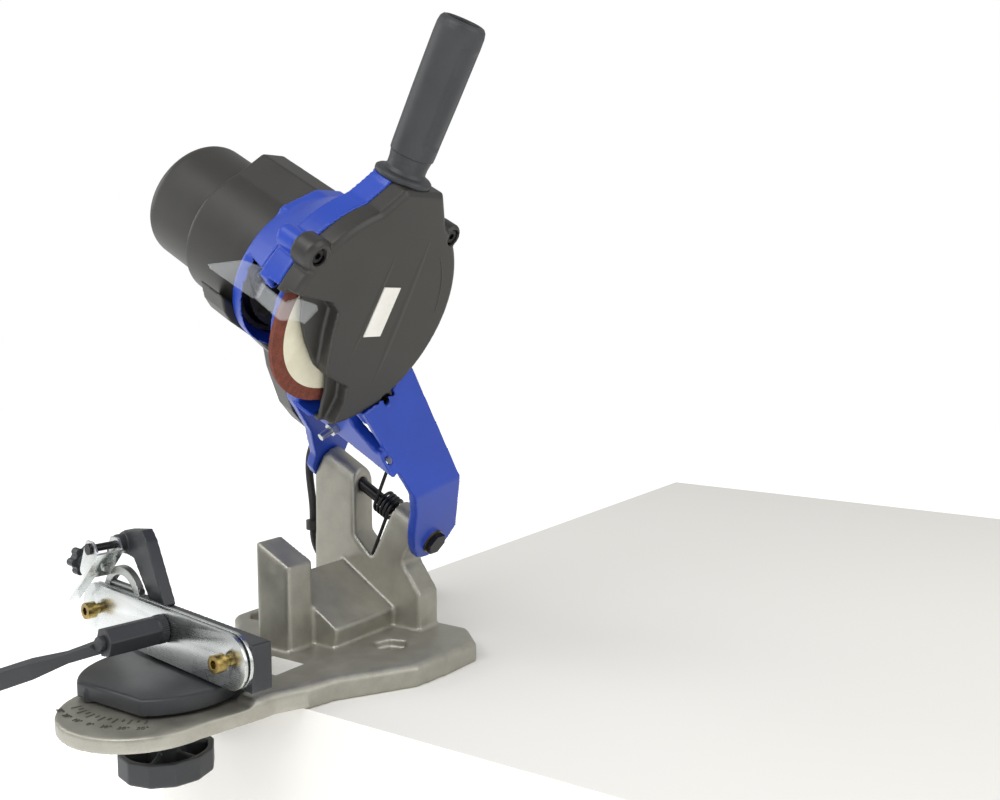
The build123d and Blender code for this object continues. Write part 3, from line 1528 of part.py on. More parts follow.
with BuildPart() as lead_clip:
    with BuildSketch(Plane.XY.offset(clip_top[2] - clip_height)):
        with Locations((clip_top[0], clip_top[1])):
            Circle(lead_radius + running_clearance + clip_wall)
        with Locations(((clip_top[0] + tower_left) / 2, clip_top[1])):
            Rectangle(tower_left - clip_top[0], 2 * clip_wall)
        with Locations((clip_top[0], clip_top[1])):
            Circle(lead_radius + running_clearance, mode=Mode.SUBTRACT)
    extrude(amount=clip_height)
lead_clip.part.label = "lead_clip"
export_step(lead_clip.part, "parts/lead_clip.step")

plug_body = (26.0, 38.0, 14.0)
plug_sleeve = 14.0
plug_pin_radius = 2.4
plug_pin_length = 19.0
plug_pin_spacing = 19.0
coil_end = coil_place(coil_turns) + curve_way(coil_place, coil_turns) * lead_diameter
PLUG = Plane(origin=coil_end, x_dir=(0, 0, 1), z_dir=curve_way(coil_place, coil_turns))
with BuildPart() as plug:
    with BuildSketch(PLUG):
        Circle(lead_radius + 1.5)
    with BuildSketch(PLUG.offset(plug_sleeve)):
        Circle(lead_radius + 3)
    loft()
    with BuildSketch(PLUG.offset(plug_sleeve)):
        RectangleRounded(plug_body[2] - 1, plug_body[0] - 6, 5)
    with BuildSketch(PLUG.offset(plug_sleeve + 10)):
        RectangleRounded(plug_body[2] - 0.2, plug_body[0], 5)
    with BuildSketch(PLUG.offset(plug_sleeve + plug_body[1])):
        RectangleRounded(plug_body[2] - 0.2, plug_body[0], 5)
    loft(ruled=True)
plug.part.label = "plug"
export_step(plug.part, "parts/plug.step")

with BuildPart() as plug_pins:
    with BuildSketch(PLUG.offset(plug_sleeve + plug_body[1])):
        with GridLocations(0, plug_pin_spacing, 1, 2):
            Circle(plug_pin_radius)
    extrude(amount=plug_pin_length)
plug_pins.part.label = "plug_pins"
export_step(plug_pins.part, "parts/plug_pins.step")
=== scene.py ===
"""Looks of a bench-mounted electric chainsaw sharpener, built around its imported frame."""

import json
import logging
import math
from dataclasses import dataclass, field
from enum import Enum

import bmesh
import bpy
import numpy as np
from mathutils import Matrix, Vector


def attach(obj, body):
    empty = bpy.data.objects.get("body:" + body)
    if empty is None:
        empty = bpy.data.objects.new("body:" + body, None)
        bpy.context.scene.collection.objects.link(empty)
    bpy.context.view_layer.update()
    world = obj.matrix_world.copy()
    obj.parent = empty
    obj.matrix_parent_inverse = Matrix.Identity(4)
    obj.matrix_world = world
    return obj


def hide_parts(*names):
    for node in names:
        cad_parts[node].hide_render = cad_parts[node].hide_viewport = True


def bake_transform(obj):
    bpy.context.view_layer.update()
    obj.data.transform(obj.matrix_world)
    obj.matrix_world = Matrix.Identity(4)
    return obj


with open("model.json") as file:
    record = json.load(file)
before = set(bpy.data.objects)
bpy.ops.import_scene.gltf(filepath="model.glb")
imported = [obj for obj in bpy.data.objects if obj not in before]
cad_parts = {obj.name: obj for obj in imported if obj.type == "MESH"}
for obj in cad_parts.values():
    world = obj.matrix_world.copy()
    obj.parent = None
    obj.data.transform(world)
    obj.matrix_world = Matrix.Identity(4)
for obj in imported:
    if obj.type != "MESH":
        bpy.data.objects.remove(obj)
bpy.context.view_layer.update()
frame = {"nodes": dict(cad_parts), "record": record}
LOG = logging.getLogger("sharpener")
MM = 0.001


# ------------------------------------------------------------------ frames of the machine
def unit(vector: np.ndarray) -> np.ndarray:
    """Return the vector at length one."""
    return vector / np.linalg.norm(vector)


@dataclass(frozen=True)
class Axes:
    """A right-handed frame: a point, in metres, and three unit directions."""

    origin: np.ndarray
    x: np.ndarray
    y: np.ndarray
    z: np.ndarray

    def place(self, local: np.ndarray) -> np.ndarray:
        """Turn local millimetres into metres of the machine.

        Args:
            local: array of shape (..., 3) with x, y and z in millimetres.

        Returns:
            Array of the same shape, in metres.
        """
        turned = local[..., :1] * self.x + local[..., 1:2] * self.y + local[..., 2:3] * self.z
        return self.origin + turned * MM


HINGE_LEAN = math.radians(28.0)
HINGE_AXIS = np.array([math.cos(HINGE_LEAN), 0.0, -math.sin(HINGE_LEAN)])
HEAD_UP = np.array([math.sin(HINGE_LEAN), 0.0, math.cos(HINGE_LEAN)])
BACKWARDS = np.array([0.0, 1.0, 0.0])
HINGE_POINT = np.array([21.3, 49.0, 122.0]) * MM
HEAD = Axes(HINGE_POINT, BACKWARDS, HEAD_UP, HINGE_AXIS)
WHEEL = Axes(HEAD.place(np.array([-138.0, 190.0, 0.0])), BACKWARDS, HEAD_UP, HINGE_AXIS)
HANDLE_FOOT = WHEEL.place(np.array([4.0, 98.5, -4.0]))
HANDLE = Axes(HANDLE_FOOT, HINGE_AXIS, -BACKWARDS, HEAD_UP)
GLAND = Axes(HEAD.place(np.array([2.0, 30.0, -89.0])), HINGE_AXIS, BACKWARDS, -HEAD_UP)
TURNTABLE = Axes(
    np.array([-13.4, -160.0, 0.0]) * MM, np.array([1.0, 0, 0]), BACKWARDS, np.array([0, 0, 1.0])
)
VISE_TURN = math.radians(-9.7)
ALONG_VISE = np.array([math.cos(VISE_TURN), math.sin(VISE_TURN), 0.0])
INTO_VISE = np.array([-math.sin(VISE_TURN), math.cos(VISE_TURN), 0.0])
CLAMP = Axes(
    np.array([-9.0, -157.0, 55.0]) * MM + ALONG_VISE * -13.0 * MM,
    ALONG_VISE, np.array([0, 0, 1.0]), -INTO_VISE,
)


# ------------------------------------------------------------------ finishes
def linear(hex_colour: str, alpha: float = 1.0) -> tuple[float, float, float, float]:
    """Turn an sRGB hex colour into linear red, green, blue and alpha."""
    parts = [int(hex_colour[i : i + 2], 16) / 255 for i in (1, 3, 5)]
    curve = [c / 12.92 if c <= 0.04045 else ((c + 0.055) / 1.055) ** 2.4 for c in parts]
    return (curve[0], curve[1], curve[2], alpha)


def add(
    tree: bpy.types.NodeTree, kind: str, settings: dict | None = None, links: dict | None = None
) -> bpy.types.Node:
    """Add a node to a tree.

    Args:
        tree: the material's node tree.
        kind: the node's type name.
        settings: attributes, or input sockets by name or number, and their values.
        links: input sockets by name or number, and the output socket that feeds each.

    Returns:
        The new node.
    """
    node = tree.nodes.new(kind)
    for name, value in (settings or {}).items():
        if isinstance(name, str) and hasattr(node, name):
            setattr(node, name, value)
        else:
            node.inputs[name].default_value = value
    for name, source in (links or {}).items():
        tree.links.new(source, node.inputs[name])
    return node


SLOW_SHARE = 0.65  # share of the slow mottling in the colour, the fine relief having the rest
COLOUR_BAND = (0.36, 0.64)  # noise values between which the two colours blend
GLOSS_BAND = (0.3, 0.7)  # noise values between which the roughness swings
BRUSHED_STRETCH = (0.06, 0.06, 1.0)  # how far rolling draws the pattern out
BRUSHED_LEAN = 0.49  # radians between the rolling direction and the axes
SHARP_FOLD = math.radians(35)  # edges that fold more than this stay sharp
VERTEX_WELD = 1e-6  # metres between vertices that count as one


class Grain(Enum):
    """How a surface was made, which sets the shape of its pattern."""

    MOULDED = "spark-eroded mould texture, even in all directions"
    CAST = "sand or die casting, coarse and mottled"
    BRUSHED = "rolled or ground along one direction"
    GRIT = "bonded abrasive grains"
    SMOOTH = "polished or drawn"


@dataclass(frozen=True)
class Finish:
    """One real material and the way its surface was made.

    Attributes:
        name: what a maker calls it.
        base: main sRGB colour.
        shade: second sRGB colour of the mottling.
        roughness: mean roughness.
        metallic: 1 for bare metal.
        grain: how the surface was made.
        grain_mm: size of the fine relief, drawn as coarse as it needs to show.
        relief_mm: height of the fine relief.
        mottle_mm: size of the slow colour changes.
        spread: how far roughness swings about its mean.
        coat: strength of a clear coat.
    """

    name: str
    base: str
    shade: str
    roughness: float
    metallic: float = 0.0
    grain: Grain = Grain.MOULDED
    grain_mm: float = 0.7
    relief_mm: float = 0.03
    mottle_mm: float = 30.0
    spread: float = 0.08
    coat: float = 0.0

    def build(self) -> bpy.types.Material:
        """Make the material: mottled colour, uneven gloss and a fine relief."""
        material = bpy.data.materials.new(self.name)
        material.use_nodes = True
        tree = material.node_tree
        tree.nodes.clear()
        place = add(tree, "ShaderNodeTexCoord").outputs["Object"]
        stretch = (1.0, 1.0, 1.0)
        if self.grain is Grain.BRUSHED:
            stretch = BRUSHED_STRETCH
        turned = add(
            tree, "ShaderNodeMapping", {"Scale": stretch, "Rotation": (0.0, BRUSHED_LEAN, 0.0)},
            {"Vector": place},
        ).outputs["Vector"]
        slow = add(
            tree, "ShaderNodeTexNoise",
            {"Scale": 1 / (self.mottle_mm * MM), "Detail": 5.0, "Roughness": 0.6},
            {"Vector": place},
        ).outputs["Fac"]
        fine = add(
            tree, "ShaderNodeTexNoise",
            {"Scale": 1 / (self.grain_mm * MM), "Detail": 3.0, "Roughness": 0.55},
            {"Vector": turned},
        ).outputs["Fac"]
        if self.grain is Grain.GRIT:
            fine = add(
                tree, "ShaderNodeTexVoronoi", {"Scale": 1 / (self.grain_mm * MM)},
                {"Vector": place},
            ).outputs["Distance"]
        speck = add(
            tree, "ShaderNodeMath", {"operation": "MULTIPLY", 1: 1 - SLOW_SHARE}, {0: fine}
        )
        blend = add(
            tree, "ShaderNodeMath", {"operation": "MULTIPLY_ADD", 1: SLOW_SHARE},
            {0: slow, 2: speck.outputs[0]},
        )
        ramp = add(tree, "ShaderNodeValToRGB", None, {"Fac": blend.outputs[0]})
        stops = ramp.color_ramp.elements
        for stop, position, colour in zip(stops, COLOUR_BAND, (self.shade, self.base)):
            stop.position = position
            stop.color = linear(colour)
        gloss = add(
            tree, "ShaderNodeMapRange",
            {"From Min": GLOSS_BAND[0], "From Max": GLOSS_BAND[1],
             "To Min": max(self.roughness - self.spread, 0.05),
             "To Max": min(self.roughness + self.spread, 1.0)},
            {"Value": blend.outputs[0]},
        ).outputs["Result"]
        relief = add(
            tree, "ShaderNodeBump", {"Strength": 1.0, "Distance": self.relief_mm * MM},
            {"Height": fine},
        ).outputs["Normal"]
        surface = add(
            tree, "ShaderNodeBsdfPrincipled",
            {"Metallic": self.metallic, "Coat Weight": self.coat},
            {"Base Color": ramp.outputs["Color"], "Roughness": gloss, "Normal": relief},
        )
        add(tree, "ShaderNodeOutputMaterial", None, {"Surface": surface.outputs["BSDF"]})
        return material


@dataclass(frozen=True)
class ClearFinish:
    """Clear polycarbonate sheet: no colour of its own."""

    name: str = "clear polycarbonate"
    tint: str = "#f1f6f8"
    roughness: float = 0.06
    alpha: float = 0.14

    def build(self) -> bpy.types.Material:
        """Make the material: a glossy surface that lets most light straight through."""
        material = bpy.data.materials.new(self.name)
        material.use_nodes = True
        tree = material.node_tree
        surface = tree.nodes["Principled BSDF"]
        place = add(tree, "ShaderNodeTexCoord").outputs["Object"]
        haze = add(
            tree, "ShaderNodeTexNoise", {"Scale": 60.0, "Detail": 4.0}, {"Vector": place}
        ).outputs["Fac"]
        surface.inputs["Base Color"].default_value = linear(self.tint)
        surface.inputs["Alpha"].default_value = self.alpha
        gloss = add(
            tree, "ShaderNodeMapRange",
            {"To Min": self.roughness * 0.5, "To Max": self.roughness * 2}, {"Value": haze},
        )
        tree.links.new(gloss.outputs["Result"], surface.inputs["Roughness"])
        return material


# Die-cast aluminium, tumbled: warm grey with a fine sandy skin that catches light in specks.
CAST_ALUMINIUM = Finish(
    "tumbled cast aluminium", "#b0aea3", "#9d9b91", 0.44, 0.75, Grain.CAST, 0.9, 0.12, 16.0, 0.10
)
# Scale marks and numbers: cast aluminium darkened as painted shade, standing in for the shadows
# along the raised marks.
SCALE_MARK_PAINTED_SHADE = Finish(
    "casting darkened as painted shade", "#6f6d66", "#58564f", 0.55, 0.5, Grain.CAST, 0.9, 0.05, 16.0, 0.08
)
# Blue polyamide housing: deep royal blue, satin, faint moulded texture.
BLUE_POLYAMIDE = Finish(
    "royal blue polyamide", "#1f46b4", "#1a3da2", 0.36, 0.0, Grain.MOULDED, 0.8, 0.015, 60.0, 0.05
)
# Black glass-filled polyamide: warm charcoal, matt, spark-eroded skin.
BLACK_POLYAMIDE = Finish(
    "charcoal polyamide", "#302f2c", "#282724", 0.42, 0.0, Grain.MOULDED, 0.8, 0.03, 45.0, 0.05
)
GRIP = Finish(
    "black grip polyamide", "#35373a", "#2c2e31", 0.5, 0.0, Grain.MOULDED, 0.7, 0.03, 40.0, 0.07
)
# Black powder coat on castings: neutral black with soft orange-peel.
POWDER_COAT = Finish(
    "black powder coat", "#34363a", "#2a2c2f", 0.42, 0.0, Grain.MOULDED, 1.4, 0.04, 35.0, 0.08
)
BRIGHT_ZINC = Finish(
    "bright zinc plate", "#d9dcdb", "#c8cccb", 0.28, 1.0, Grain.BRUSHED, 1.0, 0.002, 26.0, 0.05
)
ZINC_STEEL = Finish(
    "zinc-plated steel", "#bfc1be", "#a4a6a4", 0.33, 1.0, Grain.BRUSHED, 0.8, 0.004, 10.0, 0.07
)
YELLOW_ZINC = Finish(
    "yellow chromated zinc", "#b39c5e", "#7d6b3f", 0.33, 1.0, Grain.SMOOTH, 0.8, 0.008, 6.0, 0.10
)
BLACK_STEEL = Finish(
    "blackened spring steel", "#3a3a3b", "#242425", 0.32, 0.8, Grain.SMOOTH, 0.9, 0.01, 14.0, 0.1
)
GROUND_STEEL = Finish(
    "ground steel", "#c9cac8", "#a9aba9", 0.2, 1.0, Grain.BRUSHED, 0.5, 0.004, 10.0, 0.06
)
LAMINATION = Finish(
    "electrical sheet stack", "#6c6d6f", "#525355", 0.45, 0.9, Grain.BRUSHED, 0.6, 0.03, 9.0, 0.1
)
COPPER = Finish(
    "commutator copper", "#c07a4e", "#8c5434", 0.3, 1.0, Grain.BRUSHED, 0.6, 0.01, 6.0, 0.1
)
CARBON = Finish("pressed carbon", "#2a2a2b", "#1d1d1e", 0.6, 0.0, Grain.CAST, 0.5, 0.03, 6.0)
# Vitrified corundum wheel: reddish brown, open grit that scatters all light.
ABRASIVE = Finish(
    "brown vitrified corundum", "#7d4030", "#5a2c21", 0.9, 0.0, Grain.GRIT, 0.9, 0.25, 5.0, 0.05
)
BLOTTER = Finish(
    "ivory blotter paper", "#ddd9c4", "#cdc8ae", 0.7, 0.0, Grain.SMOOTH, 0.6, 0.01, 18.0, 0.06
)
BARE_LABEL = Finish(
    "bare vinyl label", "#e9e8e2", "#dedcd4", 0.38, 0.0, Grain.SMOOTH, 3.0, 0.005, 20.0, 0.05
)
CORD_RUBBER = Finish(
    "black cord rubber", "#222324", "#1a1b1c", 0.5, 0.0, Grain.MOULDED, 0.8, 0.03, 20.0, 0.07
)
CLEAR = ClearFinish()


class Workshop:
    """Makes each material once and hands it out."""

    def __init__(self) -> None:
        """Start with no materials."""
        self.made: dict[str, bpy.types.Material] = {}

    def dress(self, piece: bpy.types.Object, finish: Finish | ClearFinish) -> None:
        """Give a piece one finish all over."""
        if finish.name not in self.made:
            self.made[finish.name] = finish.build()
        piece.data.materials.clear()
        piece.data.materials.append(self.made[finish.name])


SHOP = Workshop()


# ------------------------------------------------------------------ mesh making
def grid_piece(
    name: str, points: np.ndarray, wrap_rows: bool = False, wrap_columns: bool = False
) -> bpy.types.Object:
    """Make a mesh of quads over a grid of points.

    Args:
        name: the piece's name.
        points: array of shape (rows, columns, 3), in metres.
        wrap_rows: whether the last row joins the first.
        wrap_columns: whether the last column joins the first.

    Returns:
        The new object, at the origin.
    """
    rows, columns = points.shape[:2]
    index = np.arange(rows * columns).reshape(rows, columns)
    down = np.roll(index, -1, axis=0) if wrap_rows else index[1:]
    here = index if wrap_rows else index[:-1]
    if wrap_columns:
        quads = np.stack(
            [here, np.roll(here, -1, axis=1), np.roll(down, -1, axis=1), down], axis=-1
        )
    else:
        quads = np.stack([here[:, :-1], here[:, 1:], down[:, 1:], down[:, :-1]], axis=-1)
    mesh = bpy.data.meshes.new(name)
    mesh.from_pydata(points.reshape(-1, 3).tolist(), [], quads.reshape(-1, 4).tolist())
    mesh.validate()
    piece = bpy.data.objects.new(name, mesh)
    bpy.context.scene.collection.objects.link(piece)
    return piece


def close_up(piece: bpy.types.Object) -> None:
    """Merge doubles, fill open ends, turn faces outwards and shade smoothly."""
    shape = bmesh.new()
    shape.from_mesh(piece.data)
    bmesh.ops.remove_doubles(shape, verts=shape.verts, dist=VERTEX_WELD)
    rims = [edge for edge in shape.edges if edge.is_boundary]
    if rims:
        bmesh.ops.holes_fill(shape, edges=rims, sides=0)
    bmesh.ops.recalc_face_normals(shape, faces=shape.faces)
    shape.to_mesh(piece.data)
    shape.free()
    piece.data.shade_smooth()
    piece.data.set_sharp_from_angle(angle=SHARP_FOLD)


def turned_piece(name: str, axes: Axes, radii: np.ndarray, heights: np.ndarray) -> bpy.types.Object:
    """Turn a profile about the z axis of a frame.

    The point at height h and angle a is (r cos a, r sin a, h), where r may depend on a.

    Args:
        name: the piece's name.
        axes: the frame whose z is the axis.
        radii: array (rows, columns) of radii in millimetres.
        heights: array (rows,) of heights in millimetres.

    Returns:
        The closed piece.
    """
    angles = np.linspace(0, 2 * math.pi, radii.shape[1], endpoint=False)
    local = np.stack(
        [radii * np.cos(angles), radii * np.sin(angles),
         np.repeat(heights[:, None], radii.shape[1], axis=1)], axis=-1,
    )
    piece = grid_piece(name, axes.place(local), wrap_columns=True)
    close_up(piece)
    return piece


def softened_copy(node: str, voxel_mm: float, passes: int) -> bpy.types.Object:
    """Copy a CAD node with cast or moulded edges, rounded by resampling and smoothing.

    Args:
        node: the CAD node to copy and hide.
        voxel_mm: size of the resampling grid.
        passes: number of smoothing passes, each rounding the edges a little more.

    Returns:
        The new piece, which replaces the node.
    """
    piece = bpy.data.objects.new(f"{node}_skin", frame["nodes"][node].data.copy())
    bpy.context.scene.collection.objects.link(piece)
    weld = bmesh.new()
    weld.from_mesh(piece.data)
    bmesh.ops.remove_doubles(weld, verts=weld.verts, dist=VERTEX_WELD)
    weld.to_mesh(piece.data)
    weld.free()
    grid = piece.modifiers.new("grid", "REMESH")
    grid.mode = "VOXEL"
    grid.voxel_size = voxel_mm * MM
    ease = piece.modifiers.new("ease", "SMOOTH")
    ease.factor = 0.5
    ease.iterations = passes
    bpy.context.view_layer.update()
    shaped = bpy.data.meshes.new_from_object(
        piece.evaluated_get(bpy.context.evaluated_depsgraph_get())
    )
    piece.modifiers.clear()
    piece.data = shaped
    piece.data.shade_smooth()
    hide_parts(node)
    return piece


def bevelled_copy(node: str, width_mm: float) -> bpy.types.Object:
    """Copy a CAD node of sheet or bar with its sharp edges broken.

    Args:
        node: the CAD node to copy and hide.
        width_mm: width of the bevel.

    Returns:
        The new piece, which replaces the node.
    """
    piece = bpy.data.objects.new(f"{node}_skin", frame["nodes"][node].data.copy())
    bpy.context.scene.collection.objects.link(piece)
    shape = bmesh.new()
    shape.from_mesh(piece.data)
    bmesh.ops.remove_doubles(shape, verts=shape.verts, dist=VERTEX_WELD)
    bmesh.ops.dissolve_limit(
        shape, angle_limit=math.radians(1), verts=shape.verts, edges=shape.edges
    )
    shape.to_mesh(piece.data)
    shape.free()
    edge = piece.modifiers.new("edge", "BEVEL")
    edge.width = width_mm * MM
    edge.segments = 3
    edge.limit_method = "ANGLE"
    edge.angle_limit = SHARP_FOLD
    edge.use_clamp_overlap = True
    edge.harden_normals = True
    piece.data.shade_smooth()
    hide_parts(node)
    return piece


def body_of_node(node: str) -> str:
    """Return the body that a CAD node rides on."""
    bodies = frame["record"]["behaviour"]["bodies"]
    return next(body for body, members in bodies.items() if node in members)


def settle(piece: bpy.types.Object, node: str, finish: Finish | ClearFinish) -> None:
    """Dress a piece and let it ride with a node's body."""
    SHOP.dress(piece, finish)
    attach(piece, body_of_node(node))
    LOG.info("%s: %d faces, %s", piece.name, len(piece.data.polygons), finish.name)


# ------------------------------------------------------------------ sub-assemblies
@dataclass
class CastBase:
    """Base casting with its angle scale and bare label place.

    Attributes:
        scale_zero: angle of the scale's zero from straight ahead, towards +X, in degrees.
        tick_inner: inner radius of the marks, in millimetres.
        tick_long: length of the marks at the tens.
        tick_short: length of the marks between them.
        tick_half_width: half the width of a mark.
        number_radius: radius of the numbers' middles.
        number_size: height of a line of numbers.
        nose_top: height of the nose's top face.
        mark_height: how far marks and numbers stand proud.
        mark_root: how far the marks reach into the casting.
        label_x: left and right edge of the bare label.
        label_y: front and back edge of the bare label.
        label_z: bottom and top of the bare label.
        voxel_mm: resampling grid of the casting.
        passes: smoothing passes that round the casting's edges.
    """

    scale_zero: float = 8.5
    tick_inner: float = 59.5
    tick_long: float = 7.0
    tick_short: float = 3.6
    number_radius: float = 74.0
    number_size: float = 5.8
    nose_top: float = 12.4
    mark_height: float = 0.7
    mark_root: float = 0.4
    tick_half_width: float = 0.45
    label_x: tuple = (13.0, 45.0)
    label_y: tuple = (-105.0, -75.0)
    label_z: tuple = (17.4, 18.12)
    voxel_mm: float = 1.7
    passes: int = 6

    def build(self) -> None:
        """Make the casting, its marks and its bare label."""
        settle(softened_copy("base_casting", self.voxel_mm, self.passes), "base_casting",
               CAST_ALUMINIUM)
        self.ticks()
        self.numbers()
        self.bare_label()

    def spot(self, degrees: float, radius: float, height: float) -> np.ndarray:
        """Place a point of the scale by its angle, radius and height."""
        angle = math.radians(-90.0 + self.scale_zero + degrees)
        local = np.array([radius * math.cos(angle), radius * math.sin(angle), height])
        return TURNTABLE.place(local)

    def ticks(self) -> None:
        """Raised marks every five degrees, each a low bar along a radius."""
        bars = []
        for step in range(-6, 7):
            length = self.tick_long if step % 2 == 0 else self.tick_short
            spread = math.degrees(self.tick_half_width / self.tick_inner)
            corners = [
                self.spot(step * 5 + side * spread, self.tick_inner + along * length,
                          self.nose_top + lift)
                for lift in (-self.mark_root, self.mark_height)
                for along in (0, 1)
                for side in (-1, 1)
            ]
            bars.append(corners)
        mesh = bpy.data.meshes.new("scale_marks")
        faces = [(0, 1, 3, 2), (4, 6, 7, 5), (0, 4, 5, 1), (2, 3, 7, 6), (0, 2, 6, 4), (1, 5, 7, 3)]
        verts = [tuple(point) for bar in bars for point in bar]
        quads = [tuple(8 * n + v for v in face) for n in range(len(bars)) for face in faces]
        mesh.from_pydata(verts, [], quads)
        piece = bpy.data.objects.new("scale_marks", mesh)
        bpy.context.scene.collection.objects.link(piece)
        close_up(piece)
        # The marks' darker colour is painted shade.
        settle(piece, "base_casting", SCALE_MARK_PAINTED_SHADE)

    def numbers(self) -> None:
        """Raised numbers every ten degrees, from thirty to thirty, read from the front."""
        shapes = []
        for step in range(-3, 4):
            text = bpy.data.curves.new("number", "FONT")
            text.body = f"{abs(step) * 10}°"
            text.size = self.number_size * MM
            text.extrude = self.mark_height * MM
            text.align_x = "CENTER"
            text.align_y = "CENTER"
            holder = bpy.data.objects.new("number", text)
            bpy.context.scene.collection.objects.link(holder)
            bpy.context.view_layer.update()
            mesh = bpy.data.meshes.new_from_object(
                holder.evaluated_get(bpy.context.evaluated_depsgraph_get())
            )
            where = Vector(self.spot(step * 10, self.number_radius, self.nose_top))
            turn = Matrix.Rotation(math.radians(step * 10 + self.scale_zero), 4, "Z")
            mesh.transform(Matrix.Translation(where) @ turn)
            shapes.append(mesh)
            bpy.data.objects.remove(holder)
        joined = bmesh.new()
        for mesh in shapes:
            joined.from_mesh(mesh)
        mesh = bpy.data.meshes.new("scale_numbers")
        joined.to_mesh(mesh)
        joined.free()
        piece = bpy.data.objects.new("scale_numbers", mesh)
        bpy.context.scene.collection.objects.link(piece)
        # The numbers' darker colour is painted shade.
        settle(piece, "base_casting", SCALE_MARK_PAINTED_SHADE)

    def bare_label(self) -> None:
        """Bare label on the base's top, a thin slab with no print."""
        (left, right), (front, back) = self.label_x, self.label_y
        ring = np.array([[left, front], [right, front], [right, back], [left, back]])
        points = np.stack([np.column_stack([ring, np.full(4, h)]) for h in self.label_z]) * MM
        piece = grid_piece("base_label", points, wrap_columns=True)
        close_up(piece)
        settle(piece, "base_casting", BARE_LABEL)


@dataclass
class Vise:
    """Turntable, chain vise, clamp lever and chain stop."""

    collar_radius: float = 10.4
    collar_back: float = -2.2
    collar_length: float = 6.4
    knurls: int = 44
    knurl_depth: float = 0.45
    soft: dict = field(default_factory=lambda: {
        "turntable": (0.9, 5, POWDER_COAT), "vise_rail": (0.9, 2, POWDER_COAT),
        "stop_arm": (0.6, 3, POWDER_COAT), "clamp_lever": (0.55, 3, GRIP),
        "lock_knob": (0.75, 3, GRIP), "stop_knob": (0.4, 3, GRIP),
        "stop_arch": (0.4, 2, ZINC_STEEL),
    })
    broken: dict = field(default_factory=lambda: {
        "front_plate": (0.5, BRIGHT_ZINC), "rear_plate": (0.5, BRIGHT_ZINC),
        "stop_bracket": (0.3, BRIGHT_ZINC), "guide_screws": (0.4, YELLOW_ZINC),
        "lever_screw": (0.4, GRIP),
    })

    def build(self) -> None:
        """Make every piece of the vise."""
        for node, (voxel, passes, finish) in self.soft.items():
            settle(softened_copy(node, voxel, passes), node, finish)
        for node, (width, finish) in self.broken.items():
            settle(bevelled_copy(node, width), node, finish)
        self.knurled_collar()

    def knurled_collar(self) -> None:
        """Knurled collar: its radius ripples with the angle as r + h |cos(n a / 2)|."""
        columns = self.knurls * 8
        angles = np.linspace(0, 2 * math.pi, columns, endpoint=False)
        ripple = self.knurl_depth * np.abs(np.cos(angles * self.knurls / 2))
        edge = np.array([-0.9, 0.0, 0.0, -0.9, -4.5])[:, None]
        radii = self.collar_radius + edge + ripple * np.array([0, 1, 1, 0, 0])[:, None]
        heights = self.collar_back + np.array(
            [0.2, 0.9, self.collar_length - 0.9, self.collar_length, self.collar_length]
        )
        piece = turned_piece("clamp_collar", CLAMP, radii, heights)
        settle(piece, "clamp_lever", GRIP)


